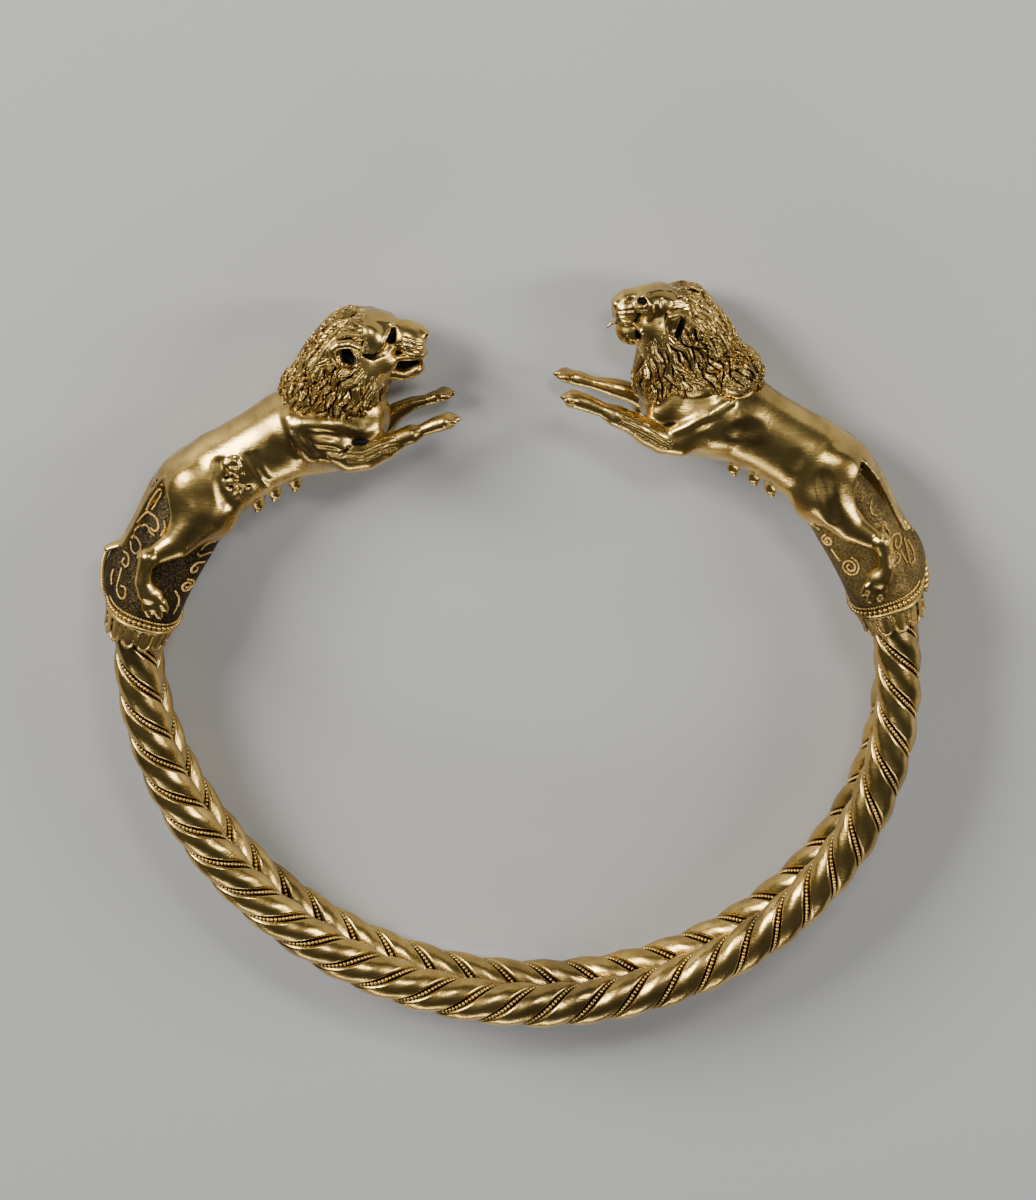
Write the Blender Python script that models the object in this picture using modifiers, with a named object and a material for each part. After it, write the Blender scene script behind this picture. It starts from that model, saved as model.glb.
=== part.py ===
"""Gold bracelet: an open hoop of two twisted tubes that ends in two springing lionesses.

The bracelet lies flat: its plane is level, +Z is up and +Y runs towards the animals.
Metres throughout; the origin is under the middle of the bracelet, on the surface it lies on.
"""
import math

import bmesh
import bpy
import numpy as np
from mathutils import Matrix, Vector

MM = 0.001

# Hoop: an oval that is open at the top, given by the centre line of its tubes
HOOP_HALF_LONG = 42.3 * MM
HOOP_HALF_SHORT = 40.0 * MM
HOOP_TURN = math.radians(-54.0)
LEFT_CUFF_RISE = math.radians(9.1)
RIGHT_CUFF_RISE = math.radians(11.9)

# Twisted tubes: two of them lie side by side, one above the other here
TUBE_DIAMETER = 5.0 * MM
TUBE_GAP = 0.3 * MM
TUBE_INSERT = 0.8 * MM
TWIST_PITCH = 14.0 * MM
LOBES = 3
GROOVE_DEPTH = 0.85 * MM
GROOVE_HALF_ANGLE = math.radians(14.0)
STEPS_PER_TURN = 10
HOOP_HEIGHT = 6.0 * MM

# Cuffs: oval sleeves that hold the tube ends, with a collar of leaves at the mouth
SLEEVE_CLEARANCE = 0.3 * MM
SLEEVE_WALL = 0.32 * MM
CUFF_RING_HALF_WIDTH = 3.95 * MM
CUFF_END_HALF_WIDTH = 4.35 * MM
CUFF_END_HALF_DEPTH = 4.3 * MM
CUFF_LENGTH = 9.0 * MM
CUFF_SET_IN = 0.25 * MM
CUFF_LEAN_START = math.radians(19.0)
CUFF_LEAN_END = math.radians(29.0)
COLLAR_LENGTH = 2.6 * MM
MOUTH_HALF_WIDTH = 3.35 * MM
RING_BEAD = 0.5 * MM
RING_RELIEF = 0.32 * MM
LEAVES = 16
LEAF_TIP = 0.9 * MM
LEAF_CROWN = 0.22 * MM
CUFF_STATIONS = 3
OVAL_SQUARENESS = 2.6

# Lionesses: carved on a figure 40 units long from the ring to the nose
LIONESS_LENGTH = 40.0 * MM
LIONESS_CLEARANCE = 0.3 * MM
VOXEL = 0.3 * MM
LIONESS_TRIANGLES = 1900

U = LIONESS_LENGTH / 40

# How the two animals differ: a lift of the head, and lengths in figure units
POSES = {
    "left": {
        "ring_shift": 0.35,
        "head_lift": 0.0,
        "jaw_back": 0.0,
        "jaw_shut": 0.0,
        "mane_trim": 0.5,
        "crest_rise": 0.0,
        "near_paw": (33.0, 22.8),
        "far_paw": (32.0, 22.9),
    },
    "right": {
        "ring_shift": 0.0,
        "head_lift": math.radians(13.0),
        "jaw_back": 0.9,
        "jaw_shut": 0.45,
        "mane_trim": 0.0,
        "crest_rise": 1.1,
        "near_paw": (33.9, 23.0),
        "far_paw": (34.4, 23.3),
    },
}
TUBE_RADIUS = TUBE_DIAMETER / 2
TUBE_OFFSET = TUBE_RADIUS + TUBE_GAP / 2
CUFF_RING_HALF_DEPTH = TUBE_OFFSET + TUBE_RADIUS + SLEEVE_CLEARANCE + SLEEVE_WALL

GOLD = (0.62, 0.40, 0.13)


def clear_scene():
    for item in list(bpy.data.objects):
        bpy.data.objects.remove(item, do_unlink=True)


def new_collection(name):
    collection = bpy.data.collections.new(name)
    bpy.context.scene.collection.children.link(collection)
    return collection


def gold(name, share, roughness):
    """A gold alloy; share dims the colour a little from piece to piece."""
    material = bpy.data.materials.new(name)
    material.use_nodes = True
    shader = material.node_tree.nodes["Principled BSDF"]
    colour = [channel * share for channel in GOLD]
    shader.inputs["Base Color"].default_value = (*colour, 1.0)
    shader.inputs["Metallic"].default_value = 1.0
    shader.inputs["Roughness"].default_value = roughness
    return material


def add_object(name, mesh, collection, material):
    item = bpy.data.objects.new(name, mesh)
    collection.objects.link(item)
    item.data.materials.clear()
    item.data.materials.append(material)
    mesh.shade_smooth()
    mesh.set_sharp_from_angle(angle=math.radians(40))
    return item


def add_cutter(name, mesh, collection):
    item = bpy.data.objects.new(name, mesh)
    collection.objects.link(item)
    item.hide_render = True
    item.display_type = "WIRE"
    return item


def hoop_point(angle):
    """Point of the hoop's centre line in the direction of angle from its middle."""
    turned = angle - HOOP_TURN
    across = math.hypot(HOOP_HALF_SHORT * math.cos(turned), HOOP_HALF_LONG * math.sin(turned))
    reach = HOOP_HALF_LONG * HOOP_HALF_SHORT / across
    return Vector((reach * math.cos(angle), reach * math.sin(angle), 0.0))


LEFT_ANGLE = math.pi - LEFT_CUFF_RISE
RIGHT_ANGLE = 2 * math.pi + RIGHT_CUFF_RISE


def hoop_path(extra):
    """Evenly spaced points from the left cuff round to the right one, run on by extra."""
    overrun = extra / HOOP_HALF_LONG
    angles = np.linspace(LEFT_ANGLE - overrun, RIGHT_ANGLE + overrun, 721)
    dense = np.array([hoop_point(angle) for angle in angles])
    steps = np.linalg.norm(np.diff(dense, axis=0), axis=1)
    along = np.concatenate([[0.0], np.cumsum(steps)])
    count = round(along[-1] / TWIST_PITCH * STEPS_PER_TURN) + 1
    places = np.linspace(0.0, along[-1], count)
    points = [np.interp(places, along, dense[:, axis]) for axis in range(2)]
    return np.column_stack(points), places


def lobed_profile(name, collection):
    """Closed cross-section of a tube: lobes with a narrow groove between each two."""
    curve = bpy.data.curves.new(name, "CURVE")
    curve.dimensions = "2D"
    spline = curve.splines.new("POLY")
    outline = []
    for lobe in range(LOBES):
        start = 2 * math.pi * lobe / LOBES
        width = 2 * math.pi / LOBES
        edge = TUBE_RADIUS - 0.1 * GROOVE_DEPTH
        outline.append((start, TUBE_RADIUS - GROOVE_DEPTH))
        outline.append((start + GROOVE_HALF_ANGLE, edge))
        outline.append((start + width / 2, TUBE_RADIUS))
        outline.append((start + width - GROOVE_HALF_ANGLE, edge))
    spline.points.add(len(outline) - 1)
    for point, (angle, radius) in zip(spline.points, outline):
        point.co = (radius * math.cos(angle), radius * math.sin(angle), 0.0, 1.0)
    spline.use_cyclic_u = True
    return add_cutter(name, curve, collection)


def swept_mesh(name, points, height, tilts, profile=None, radius=0.0, sides=2):
    """A closed mesh swept along the hoop, from a curve with filled caps."""
    curve = bpy.data.curves.new(name, "CURVE")
    curve.dimensions = "3D"
    curve.twist_mode = "Z_UP"
    curve.use_fill_caps = True
    if profile:
        curve.bevel_mode = "OBJECT"
        curve.bevel_object = profile
    else:
        curve.bevel_depth = radius
        curve.bevel_resolution = sides
    spline = curve.splines.new("POLY")
    spline.points.add(len(points) - 1)
    for point, (x, y), tilt in zip(spline.points, points, tilts):
        point.co = (x, y, height, 1.0)
        point.tilt = tilt
    holder = bpy.data.objects.new(name, curve)
    bpy.context.scene.collection.objects.link(holder)
    mesh = evaluated_mesh(holder)
    bpy.data.objects.remove(holder)
    return mesh


def evaluated_mesh(item):
    """The object's mesh with its modifiers applied and loose caps welded."""
    graph = bpy.context.evaluated_depsgraph_get()
    mesh = bpy.data.meshes.new_from_object(item.evaluated_get(graph))
    shape = bmesh.new()
    shape.from_mesh(mesh)
    bmesh.ops.remove_doubles(shape, verts=shape.verts, dist=0.00001)
    bmesh.ops.recalc_face_normals(shape, faces=shape.faces)
    shape.to_mesh(mesh)
    shape.free()
    return mesh


def split_along_twist(mesh):
    """Splits each warped quad along its short diagonal, so the lobes stay smooth."""
    shape = bmesh.new()
    shape.from_mesh(mesh)
    quads = [face for face in shape.faces if len(face.verts) == 4]
    bmesh.ops.triangulate(shape, faces=quads, quad_method="SHORT_EDGE")
    shape.to_mesh(mesh)
    shape.free()


def twisted_tube(name, level, sense, collection, cutters, material):
    """One tube of the hoop; sense is the hand of its twist."""
    points, places = hoop_path(TUBE_INSERT)
    tilts = sense * 2 * math.pi * places / TWIST_PITCH
    profile = lobed_profile(name + "_section", cutters)
    height = HOOP_HEIGHT + level * TUBE_OFFSET
    mesh = swept_mesh(name, points, height, tilts, profile=profile)
    split_along_twist(mesh)
    return add_object(name, mesh, collection, material)


class Finial:
    """Places the cuff and the lioness at one end of the hoop.

    Its own axes are: x towards the other lioness, y towards the head, z up.
    """

    def __init__(self, side):
        self.mirror = 1 if side == "left" else -1
        self.pose = POSES[side]
        self.ring = hoop_point(LEFT_ANGLE if side == "left" else RIGHT_ANGLE)
        self.ring.x += self.mirror * self.pose["ring_shift"] * U

    def place(self, x, y, z=0.0):
        return Vector((self.ring.x + self.mirror * x, self.ring.y + y, HOOP_HEIGHT + z))

    def cuff_axis(self, along):
        """Centre and lean of the sleeve at a distance along it from the bead ring."""
        share = max(along, 0.0) / CUFF_LENGTH
        lean = CUFF_LEAN_START + (CUFF_LEAN_END - CUFF_LEAN_START) * share
        middle = (CUFF_LEAN_START + lean) / 2
        return CUFF_SET_IN + along * math.sin(middle), along * math.cos(middle), lean

    def cuff_section(self, along, half_width, half_depth, crown=0.0, tip=0.0):
        """Oval ring of points across the sleeve, two for each leaf."""
        ring = []
        for index in range(2 * LEAVES):
            angle = 2 * math.pi * (index + 0.5) / (2 * LEAVES)
            on_leaf = index % 2
            x, y, lean = self.cuff_axis(along - tip * on_leaf)
            cos, sin = math.cos(angle), math.sin(angle)
            bulge = (abs(cos) ** OVAL_SQUARENESS + abs(sin) ** OVAL_SQUARENESS) ** (-1 / OVAL_SQUARENESS)
            across = (half_width + crown * on_leaf) * bulge * cos
            depth = (half_depth + crown * on_leaf) * bulge * sin
            ring.append(self.place(x + across * math.cos(lean), y - across * math.sin(lean), depth))
        return ring


def loft(name, rings):
    """Closed skin over rings of equal count, capped at both ends."""
    shape = bmesh.new()
    rows = [[shape.verts.new(point) for point in ring] for ring in rings]
    for low, high in zip(rows, rows[1:]):
        for index in range(len(low)):
            after = (index + 1) % len(low)
            shape.faces.new((low[index], low[after], high[after], high[index]))
    for row in (rows[0], rows[-1]):
        middle = shape.verts.new(sum((vertex.co for vertex in row), Vector()) / len(row))
        for index in range(len(row)):
            shape.faces.new((row[index], row[(index + 1) % len(row)], middle))
    bmesh.ops.recalc_face_normals(shape, faces=shape.faces)
    mesh = bpy.data.meshes.new(name)
    shape.to_mesh(mesh)
    shape.free()
    return mesh


def sleeve_sizes(along):
    """Half width and half depth of the sleeve; it narrows only past the tube ends."""
    share = max(along, 0.0) / CUFF_LENGTH
    half_width = CUFF_RING_HALF_WIDTH + (CUFF_END_HALF_WIDTH - CUFF_RING_HALF_WIDTH) * share
    sockets = TUBE_INSERT + SLEEVE_CLEARANCE + SLEEVE_WALL
    share = max(along - sockets, 0.0) / (CUFF_LENGTH - sockets)
    half_depth = CUFF_RING_HALF_DEPTH + (CUFF_END_HALF_DEPTH - CUFF_RING_HALF_DEPTH) * share
    return half_width, half_depth


def cuff_mesh(name, finial):
    """Leaf collar, bead ring and sleeve, from the mouth up to the lioness's loins."""
    width, depth = CUFF_RING_HALF_WIDTH, CUFF_RING_HALF_DEPTH
    rings = [
        finial.cuff_section(-COLLAR_LENGTH, MOUTH_HALF_WIDTH, depth, LEAF_CROWN, LEAF_TIP),
        finial.cuff_section(-COLLAR_LENGTH / 2, (MOUTH_HALF_WIDTH + width) / 2, depth, LEAF_CROWN),
        finial.cuff_section(-RING_BEAD, width, depth),
    ]
    for along in (-RING_BEAD / 2, RING_BEAD / 2):
        rings.append(finial.cuff_section(along, width + RING_RELIEF, depth + RING_RELIEF / 2))
    for along in np.linspace(RING_BEAD, CUFF_LENGTH, CUFF_STATIONS + 1):
        rings.append(finial.cuff_section(along, *sleeve_sizes(along)))
    return loft(name, rings)


def cut(item, cutter, name):
    """Boolean difference, kept on the object as a modifier."""
    step = item.modifiers.new(name, "BOOLEAN")
    step.operation = "DIFFERENCE"
    step.solver = "EXACT"
    step.object = cutter


def cuff(name, finial, collection, cutters, material):
    item = add_object(name, cuff_mesh(name, finial), collection, material)
    points, places = hoop_path(TUBE_INSERT + SLEEVE_CLEARANCE)
    end_count = round(len(points) / 8)
    points = points[:end_count] if finial.mirror > 0 else points[-end_count:]
    radius = TUBE_RADIUS + SLEEVE_CLEARANCE
    for level, word in ((1, "front"), (-1, "back")):
        height = HOOP_HEIGHT + level * TUBE_OFFSET
        mesh = swept_mesh(name, points, height, [0.0] * len(points), radius=radius)
        cutter = add_cutter(f"{name}_{word}_socket", mesh, cutters)
        cut(item, cutter, f"{word} socket")
    return item


def primitive(kind):
    """Corners and faces of a unit ball, or of a unit stub that limb() tapers."""
    shape = bmesh.new()
    if kind == "ball":
        bmesh.ops.create_uvsphere(shape, u_segments=16, v_segments=10, radius=1.0)
    else:
        bmesh.ops.create_cone(shape, cap_ends=True, segments=14, radius1=1.0, radius2=1.0, depth=1.0)
    corners = np.array([vertex.co for vertex in shape.verts])
    faces = [[vertex.index for vertex in face.verts] for face in shape.faces]
    shape.free()
    return corners, faces


class Carving:
    """Gathers balls and tapered limbs that are then fused into one closed skin."""

    def __init__(self, finial):
        self.finial = finial
        self.unit_ball = primitive("ball")
        self.unit_stub = primitive("stub")
        self.corners = []
        self.faces = []
        self.lift = 0.0

    def stamp(self, unit, matrix, taper=1.0):
        """Adds a copy of a unit shape; taper scales its upper end."""
        corners, faces = unit
        first = len(self.corners)
        for x, y, z in corners:
            width = taper if z > 0 else 1.0
            self.corners.append(matrix @ Vector((x * width, y * width, z)))
        self.faces.extend([first + corner for corner in face] for face in faces)

    def spot(self, x, y, z):
        """A point in figure units; the head's points turn about the top of the neck."""
        if self.lift:
            pivot_x, pivot_y = HEAD_PIVOT
            cos, sin = math.cos(self.lift), math.sin(self.lift)
            dx, dy = x - pivot_x, y - pivot_y
            x = pivot_x + dx * cos - dy * sin
            y = pivot_y + dx * sin + dy * cos
        return self.finial.place(x * U, y * U, z * U)

    def ball(self, centre, radii, turn=0.0):
        angle = self.finial.mirror * (math.radians(turn) + self.lift)
        matrix = Matrix.Translation(self.spot(*centre)) @ Matrix.Rotation(angle, 4, "Z")
        matrix = matrix @ Matrix.Diagonal((*[radius * U for radius in radii], 1.0))
        self.stamp(self.unit_ball, matrix)

    def limb(self, stations):
        """Round stations (x, y, z, radius) joined by tapered stretches."""
        for (*start, first), (*end, second) in zip(stations, stations[1:]):
            low, high = self.spot(*start), self.spot(*end)
            turn = (high - low).to_track_quat("Z", "Y").to_matrix().to_4x4()
            size = Matrix.Diagonal((first * U, first * U, (high - low).length, 1.0))
            matrix = Matrix.Translation((low + high) / 2) @ turn @ size
            self.stamp(self.unit_stub, matrix, taper=second / first)
        for *centre, radius in stations:
            self.ball(centre, (radius, radius, radius))

    def pair(self, centre, radii, turn=0.0):
        for side in (1, -1):
            self.ball((centre[0], centre[1], side * centre[2]), radii, turn)

    def limb_pair(self, stations):
        for side in (1, -1):
            self.limb([(x, y, side * z, radius) for x, y, z, radius in stations])


HEAD_PIVOT = (22.0, 29.0)

TRUNK = (
    (4.9, 10.2, 4.6, 4.0),
    (6.3, 12.9, 4.6, 4.1),
    (9.2, 15.4, 4.3, 3.8),
    (12.6, 17.6, 4.1, 3.6),
    (16.2, 19.7, 4.5, 3.9),
    (19.8, 21.0, 5.1, 4.1),
    (22.6, 22.0, 4.2, 3.5),
)


def carve_trunk(carving):
    stations = np.array(TRUNK)
    for place in np.linspace(0, len(stations) - 1, 4 * len(stations)):
        x, y, height, depth = [np.interp(place, range(len(stations)), column) for column in stations.T]
        carving.ball((x, y, 0.0), (height, height, depth))


def carve_hind_legs(carving):
    """Thighs, shanks folded back along the cuff, hocks and paws."""
    carving.pair((6.9, 13.0, 2.6), (4.5, 3.2, 1.9), turn=-58.0)
    carving.limb_pair(((8.5, 11.5, 3.9, 1.5), (5.0, 9.3, 4.6, 1.4), (1.1, 7.7, 4.9, 1.0),
                       (0.6, 5.0, 5.3, 0.9), (1.3, 3.4, 5.5, 0.9)))
    carving.pair((2.3, 2.7, 5.4), (1.6, 1.1, 0.85), turn=-25.0)


def carve_tail(carving):
    """The tail runs down the outer edge of the cuff."""
    carving.limb(((3.0, 14.0, 0.0, 1.2), (1.0, 11.4, 0.0, 0.9), (-0.1, 9.2, 0.0, 0.8),
                  (-1.4, 7.0, 0.0, 0.8), (-2.6, 5.6, 0.0, 0.8), (-3.5, 4.2, 0.0, 0.75),
                  (-3.9, 2.6, 0.0, 0.7)))


def carve_forelegs(carving):
    """Shoulders, and forelegs that reach out to the other animal."""
    carving.pair((19.4, 20.4, 3.0), (3.6, 2.7, 1.6), turn=15.0)
    for side, paw in ((1, "near_paw"), (-1, "far_paw")):
        x, y = carving.finial.pose[paw]
        carving.limb(((20.4, 20.2, side * 3.0, 2.0), (22.7, 18.5, side * 3.3, 1.75),
                      (26.0, 19.7, side * 3.3, 1.4), (x - 4.0, y - 1.6, side * 3.2, 0.85),
                      (x - 1.6, y - 0.9, side * 3.2, 0.85)))
        carving.ball((x, y, side * 3.2), (1.7, 0.95, 1.2), turn=20.0)


def carve_teats(carving):
    for x, y in ((12.6, 11.2), (14.4, 12.5), (16.5, 13.6)):
        carving.limb_pair(((x - 0.8, y + 2.0, 0.9, 1.1), (x, y, 1.1, 0.45)))


def carve_head(carving):
    """Skull, crest of hair, brow, muzzle, open jaw, cheeks and ears."""
    pose = carving.finial.pose
    carving.lift = pose["head_lift"]
    carving.ball((25.0, 30.6, 0.0), (3.5, 3.5, 3.3))
    carving.ball((22.3, 32.6 + pose["crest_rise"], 0.0), (2.1, 1.75, 3.0))
    carving.ball((25.2, 32.5, 0.0), (2.8, 1.5, 2.4), turn=-10.0)
    carving.ball((28.2, 30.9, 0.0), (2.6, 2.1, 2.0), turn=-10.0)
    carving.ball((30.0, 31.3, 0.0), (0.9, 0.8, 1.1))
    jaw = (27.9 - pose["jaw_back"], 26.9 + pose["jaw_shut"], 0.0)
    carving.ball(jaw, (2.6, 1.0, 1.5), turn=5.0)
    carving.pair((26.9, 32.5, 1.8), (1.1, 0.7, 0.9), turn=-20.0)
    carving.pair((25.6, 29.3, 2.2), (1.8, 1.8, 1.3))
    carving.pair((22.4, 30.6, 4.2), (1.4, 1.4, 1.0))
    carving.lift = 0.0


MANE_CENTRE = (21.4, 26.8)
MANE_TURN = math.radians(62.0)
MANE_RADII = (7.9, 5.3, 4.9)
MANE_ROWS = 5
LOCKS_IN_ROW = 13


def carve_mane(carving):
    """An egg round the neck with staggered rows of locks that hang back and down."""
    trim = carving.finial.pose["mane_trim"]
    cos, sin = math.cos(MANE_TURN), math.sin(MANE_TURN)
    centre_x = MANE_CENTRE[0] + trim * sin
    centre_y = MANE_CENTRE[1] - trim * cos
    length, width, depth = MANE_RADII
    width -= trim
    carving.ball((centre_x, centre_y, 0.0), (length, width, depth), turn=math.degrees(MANE_TURN))
    for row in range(MANE_ROWS):
        along = 0.62 - 0.32 * row
        girth = math.sqrt(max(0.0, 1.0 - along * along))
        for lock in range(LOCKS_IN_ROW):
            angle = 2 * math.pi * (lock + 0.5 * (row % 2)) / LOCKS_IN_ROW
            stations = []
            for share, radius in ((0.0, 0.55), (0.5, 0.8), (1.0, 0.3)):
                reach = (along - 0.34 * share) * length
                across = (girth + 0.04 * share) * width * math.cos(angle)
                side = (girth + 0.04 * share) * depth * math.sin(angle)
                x = centre_x + reach * cos - across * sin
                y = centre_y + reach * sin + across * cos
                stations.append((x, y, side, radius))
            carving.limb(stations)


def largest_body(mesh):
    """Deletes every loose scrap but the largest body."""
    shape = bmesh.new()
    shape.from_mesh(mesh)
    left = set(shape.verts)
    bodies = []
    while left:
        body = {left.pop()}
        front = list(body)
        while front:
            for edge in front.pop().link_edges:
                for vertex in edge.verts:
                    if vertex in left:
                        left.discard(vertex)
                        body.add(vertex)
                        front.append(vertex)
        bodies.append(body)
    bodies.sort(key=len)
    for body in bodies[:-1]:
        bmesh.ops.delete(shape, geom=list(body), context="VERTS")
    shape.to_mesh(mesh)
    shape.free()
    return mesh


def carved_mesh(name, finial):
    """Fuses the carving with a voxel skin and thins it to an even mesh."""
    carving = Carving(finial)
    for carve in (carve_trunk, carve_hind_legs, carve_tail, carve_forelegs, carve_teats,
                  carve_mane, carve_head):
        carve(carving)
    mesh = bpy.data.meshes.new(name)
    mesh.from_pydata(carving.corners, [], carving.faces)
    holder = bpy.data.objects.new(name, mesh)
    bpy.context.scene.collection.objects.link(holder)
    skin = holder.modifiers.new("skin", "REMESH")
    skin.mode = "VOXEL"
    skin.voxel_size = VOXEL
    ease = holder.modifiers.new("ease", "SMOOTH")
    ease.iterations = 2
    dense = largest_body(evaluated_mesh(holder))
    holder.modifiers.clear()
    holder.data = dense
    thin = holder.modifiers.new("thin", "DECIMATE")
    thin.ratio = LIONESS_TRIANGLES / (2 * len(dense.polygons))
    thin.use_collapse_triangulate = True
    light = evaluated_mesh(holder)
    bpy.data.objects.remove(holder)
    return light


def lioness(name, finial, collection, cutters, material):
    """The animal, cut clear of the cuff that it straddles and flat where it lies."""
    room = LIONESS_CLEARANCE
    rings = []
    for along in np.linspace(-COLLAR_LENGTH, CUFF_LENGTH, 6):
        half_width, half_depth = sleeve_sizes(along)
        shift = room * along / CUFF_LENGTH
        rings.append(finial.cuff_section(along + shift, half_width + room, half_depth + room))
    envelope = add_cutter(f"{name}_cuff_room", loft(name, rings), cutters)
    floor = bpy.data.meshes.new(name + "_floor")
    slab = bmesh.new()
    bmesh.ops.create_cube(slab, size=0.2, matrix=Matrix.Translation((0.0, 0.0, -0.1)))
    slab.to_mesh(floor)
    slab.free()
    ground = add_cutter(f"{name}_ground", floor, cutters)
    raw = add_cutter(f"{name}_raw", carved_mesh(name, finial), cutters)
    cut(raw, envelope, "cuff room")
    cut(raw, ground, "ground")
    mesh = largest_body(evaluated_mesh(raw))
    bpy.data.objects.remove(raw)
    return add_object(name, mesh, collection, material)


def centre_on_origin(items):
    """Moves everything so that the origin is under the middle of the bracelet."""
    graph = bpy.context.evaluated_depsgraph_get()
    corners = []
    for item in items:
        seen = item.evaluated_get(graph)
        corners.extend(seen.matrix_world @ Vector(corner) for corner in seen.bound_box)
    low = Vector([min(corner[axis] for corner in corners) for axis in range(3)])
    high = Vector([max(corner[axis] for corner in corners) for axis in range(3)])
    shift = Vector(((low.x + high.x) / 2, (low.y + high.y) / 2, low.z))
    for item in bpy.data.objects:
        if item.parent is None:
            item.location -= shift


def main():
    clear_scene()
    parts = new_collection("gold_bracelet")
    cutters = new_collection("cutters")
    hoop_gold = gold("hoop_gold", 1.0, 0.3)
    cuff_gold = gold("cuff_gold", 0.85, 0.4)
    lioness_gold = gold("lioness_gold", 0.95, 0.32)
    items = [
        twisted_tube("front_twisted_tube", 1, -1, parts, cutters, hoop_gold),
        twisted_tube("back_twisted_tube", -1, 1, parts, cutters, hoop_gold),
    ]
    for side in ("left", "right"):
        finial = Finial(side)
        items.append(cuff(f"{side}_cuff", finial, parts, cutters, cuff_gold))
        items.append(lioness(f"{side}_lioness", finial, parts, cutters, lioness_gold))
    bpy.context.view_layer.update()
    centre_on_origin(items)


main()
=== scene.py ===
# %% [markdown]
# # A gold bracelet with two lionesses
# This lesson dresses the finished solids of an ancient open bracelet in their real surface.
# The solids say where everything is and how big it is. Nothing here moves or resizes them: each
# finer piece below is made in the place of a solid, inside the same box.

# %% Load the solids and note their box
import math

import bpy
import numpy as np
import openvdb
from mathutils import Matrix, Vector


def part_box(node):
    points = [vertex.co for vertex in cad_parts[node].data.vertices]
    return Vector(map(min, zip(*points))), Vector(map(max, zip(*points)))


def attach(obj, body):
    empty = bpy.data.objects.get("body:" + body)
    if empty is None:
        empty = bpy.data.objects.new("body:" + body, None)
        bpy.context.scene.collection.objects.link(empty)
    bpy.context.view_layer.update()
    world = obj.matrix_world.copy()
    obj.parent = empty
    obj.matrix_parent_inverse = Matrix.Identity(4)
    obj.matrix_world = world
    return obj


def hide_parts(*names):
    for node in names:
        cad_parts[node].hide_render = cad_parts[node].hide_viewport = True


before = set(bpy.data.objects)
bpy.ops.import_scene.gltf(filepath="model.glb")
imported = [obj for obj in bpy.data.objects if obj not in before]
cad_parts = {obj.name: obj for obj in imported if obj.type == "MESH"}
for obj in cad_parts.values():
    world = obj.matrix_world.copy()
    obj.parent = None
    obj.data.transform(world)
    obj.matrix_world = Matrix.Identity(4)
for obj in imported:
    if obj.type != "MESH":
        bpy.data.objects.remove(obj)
bpy.context.view_layer.update()
MM = 0.001

# %% [markdown]
# ## Where things are
# The hoop is an oval, and both cuffs start on it. All later pieces are placed by this oval, so it
# comes first. Its middle is read from the box of the upper tube, and not typed in, so that the
# finer pieces land exactly on the solids.

# %% The hoop's oval and its middle
HOOP_HALF_LONG = 42.3
HOOP_HALF_SHORT = 40.0
HOOP_TURN = math.radians(-54.0)
LEFT_ANGLE = math.pi - math.radians(9.1)
RIGHT_ANGLE = 2 * math.pi + math.radians(11.9)
TUBE_RADIUS = 2.5
TUBE_SPACING = 5.3


def oval(angle):
    """Distance of the tubes' centre line from the middle of the hoop, in millimetres."""
    turned = angle - HOOP_TURN
    return HOOP_HALF_LONG * HOOP_HALF_SHORT / np.hypot(
        HOOP_HALF_SHORT * np.cos(turned), HOOP_HALF_LONG * np.sin(turned))


def oval_point(angle):
    """Points of the centre line, measured from the middle of the hoop."""
    reach = oval(angle)
    return np.stack([reach * np.cos(angle), reach * np.sin(angle)], axis=-1)


sweep = oval_point(np.linspace(LEFT_ANGLE, RIGHT_ANGLE, 400))
low, high = (np.array(corner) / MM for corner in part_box("front_twisted_tube"))
HOOP_X = (low[0] + high[0]) / 2 - (sweep[:, 0].min() + sweep[:, 0].max()) / 2
HOOP_Y = low[1] + TUBE_RADIUS - sweep[:, 1].min()
HOOP_Z = (low[2] + high[2]) / 2 - TUBE_SPACING / 2
print("middle of the hoop, mm:", round(HOOP_X, 2), round(HOOP_Y, 2), round(HOOP_Z, 2))

# %% [markdown]
# ## The camera
# The photograph looks at the bracelet's face from 26 degrees above its axis, through a long lens.
# The bracelet lies flat here, so the same view looks down on it, with the animals at the top of
# the picture. The camera comes before the pieces.

# %% Camera at the photograph's viewing angle
VIEW_TILT = math.radians(26.0)
VIEW_DISTANCE = 0.70
PICTURE_WIDTH = 1036
MM_PER_PIXEL = 0.107
HOOP_BELOW_MIDDLE = 6.7

aim = Vector((HOOP_X, HOOP_Y + HOOP_BELOW_MIDDLE, HOOP_Z)) * MM
view_from = Vector((0.0, math.sin(VIEW_TILT), math.cos(VIEW_TILT)))
view_up = Vector((0.0, math.cos(VIEW_TILT), -math.sin(VIEW_TILT)))
view_right = Vector((1.0, 0.0, 0.0))
lens = bpy.data.cameras.new("camera")
camera = bpy.data.objects.new("camera", lens)
bpy.context.scene.collection.objects.link(camera)
camera.matrix_world = Matrix((view_right, view_up, view_from)).transposed().to_4x4()
camera.location = aim + view_from * VIEW_DISTANCE
lens.sensor_fit = "HORIZONTAL"
lens.sensor_width = 36.0
lens.lens = lens.sensor_width * VIEW_DISTANCE / (PICTURE_WIDTH * MM_PER_PIXEL * MM)
lens.clip_start = 0.01
bpy.context.scene.camera = camera
print("lens, mm:", round(lens.lens, 1))

# %% [markdown]
# ## Floor and light
# Gold is a mirror, so its look is mostly the look of the room. A large soft light on the left
# gives the long pale highlights, a smaller one on the right lifts the other animal, and a dim
# grey world leaves the dark patches that make the metal read as gold and not as paint.

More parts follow.
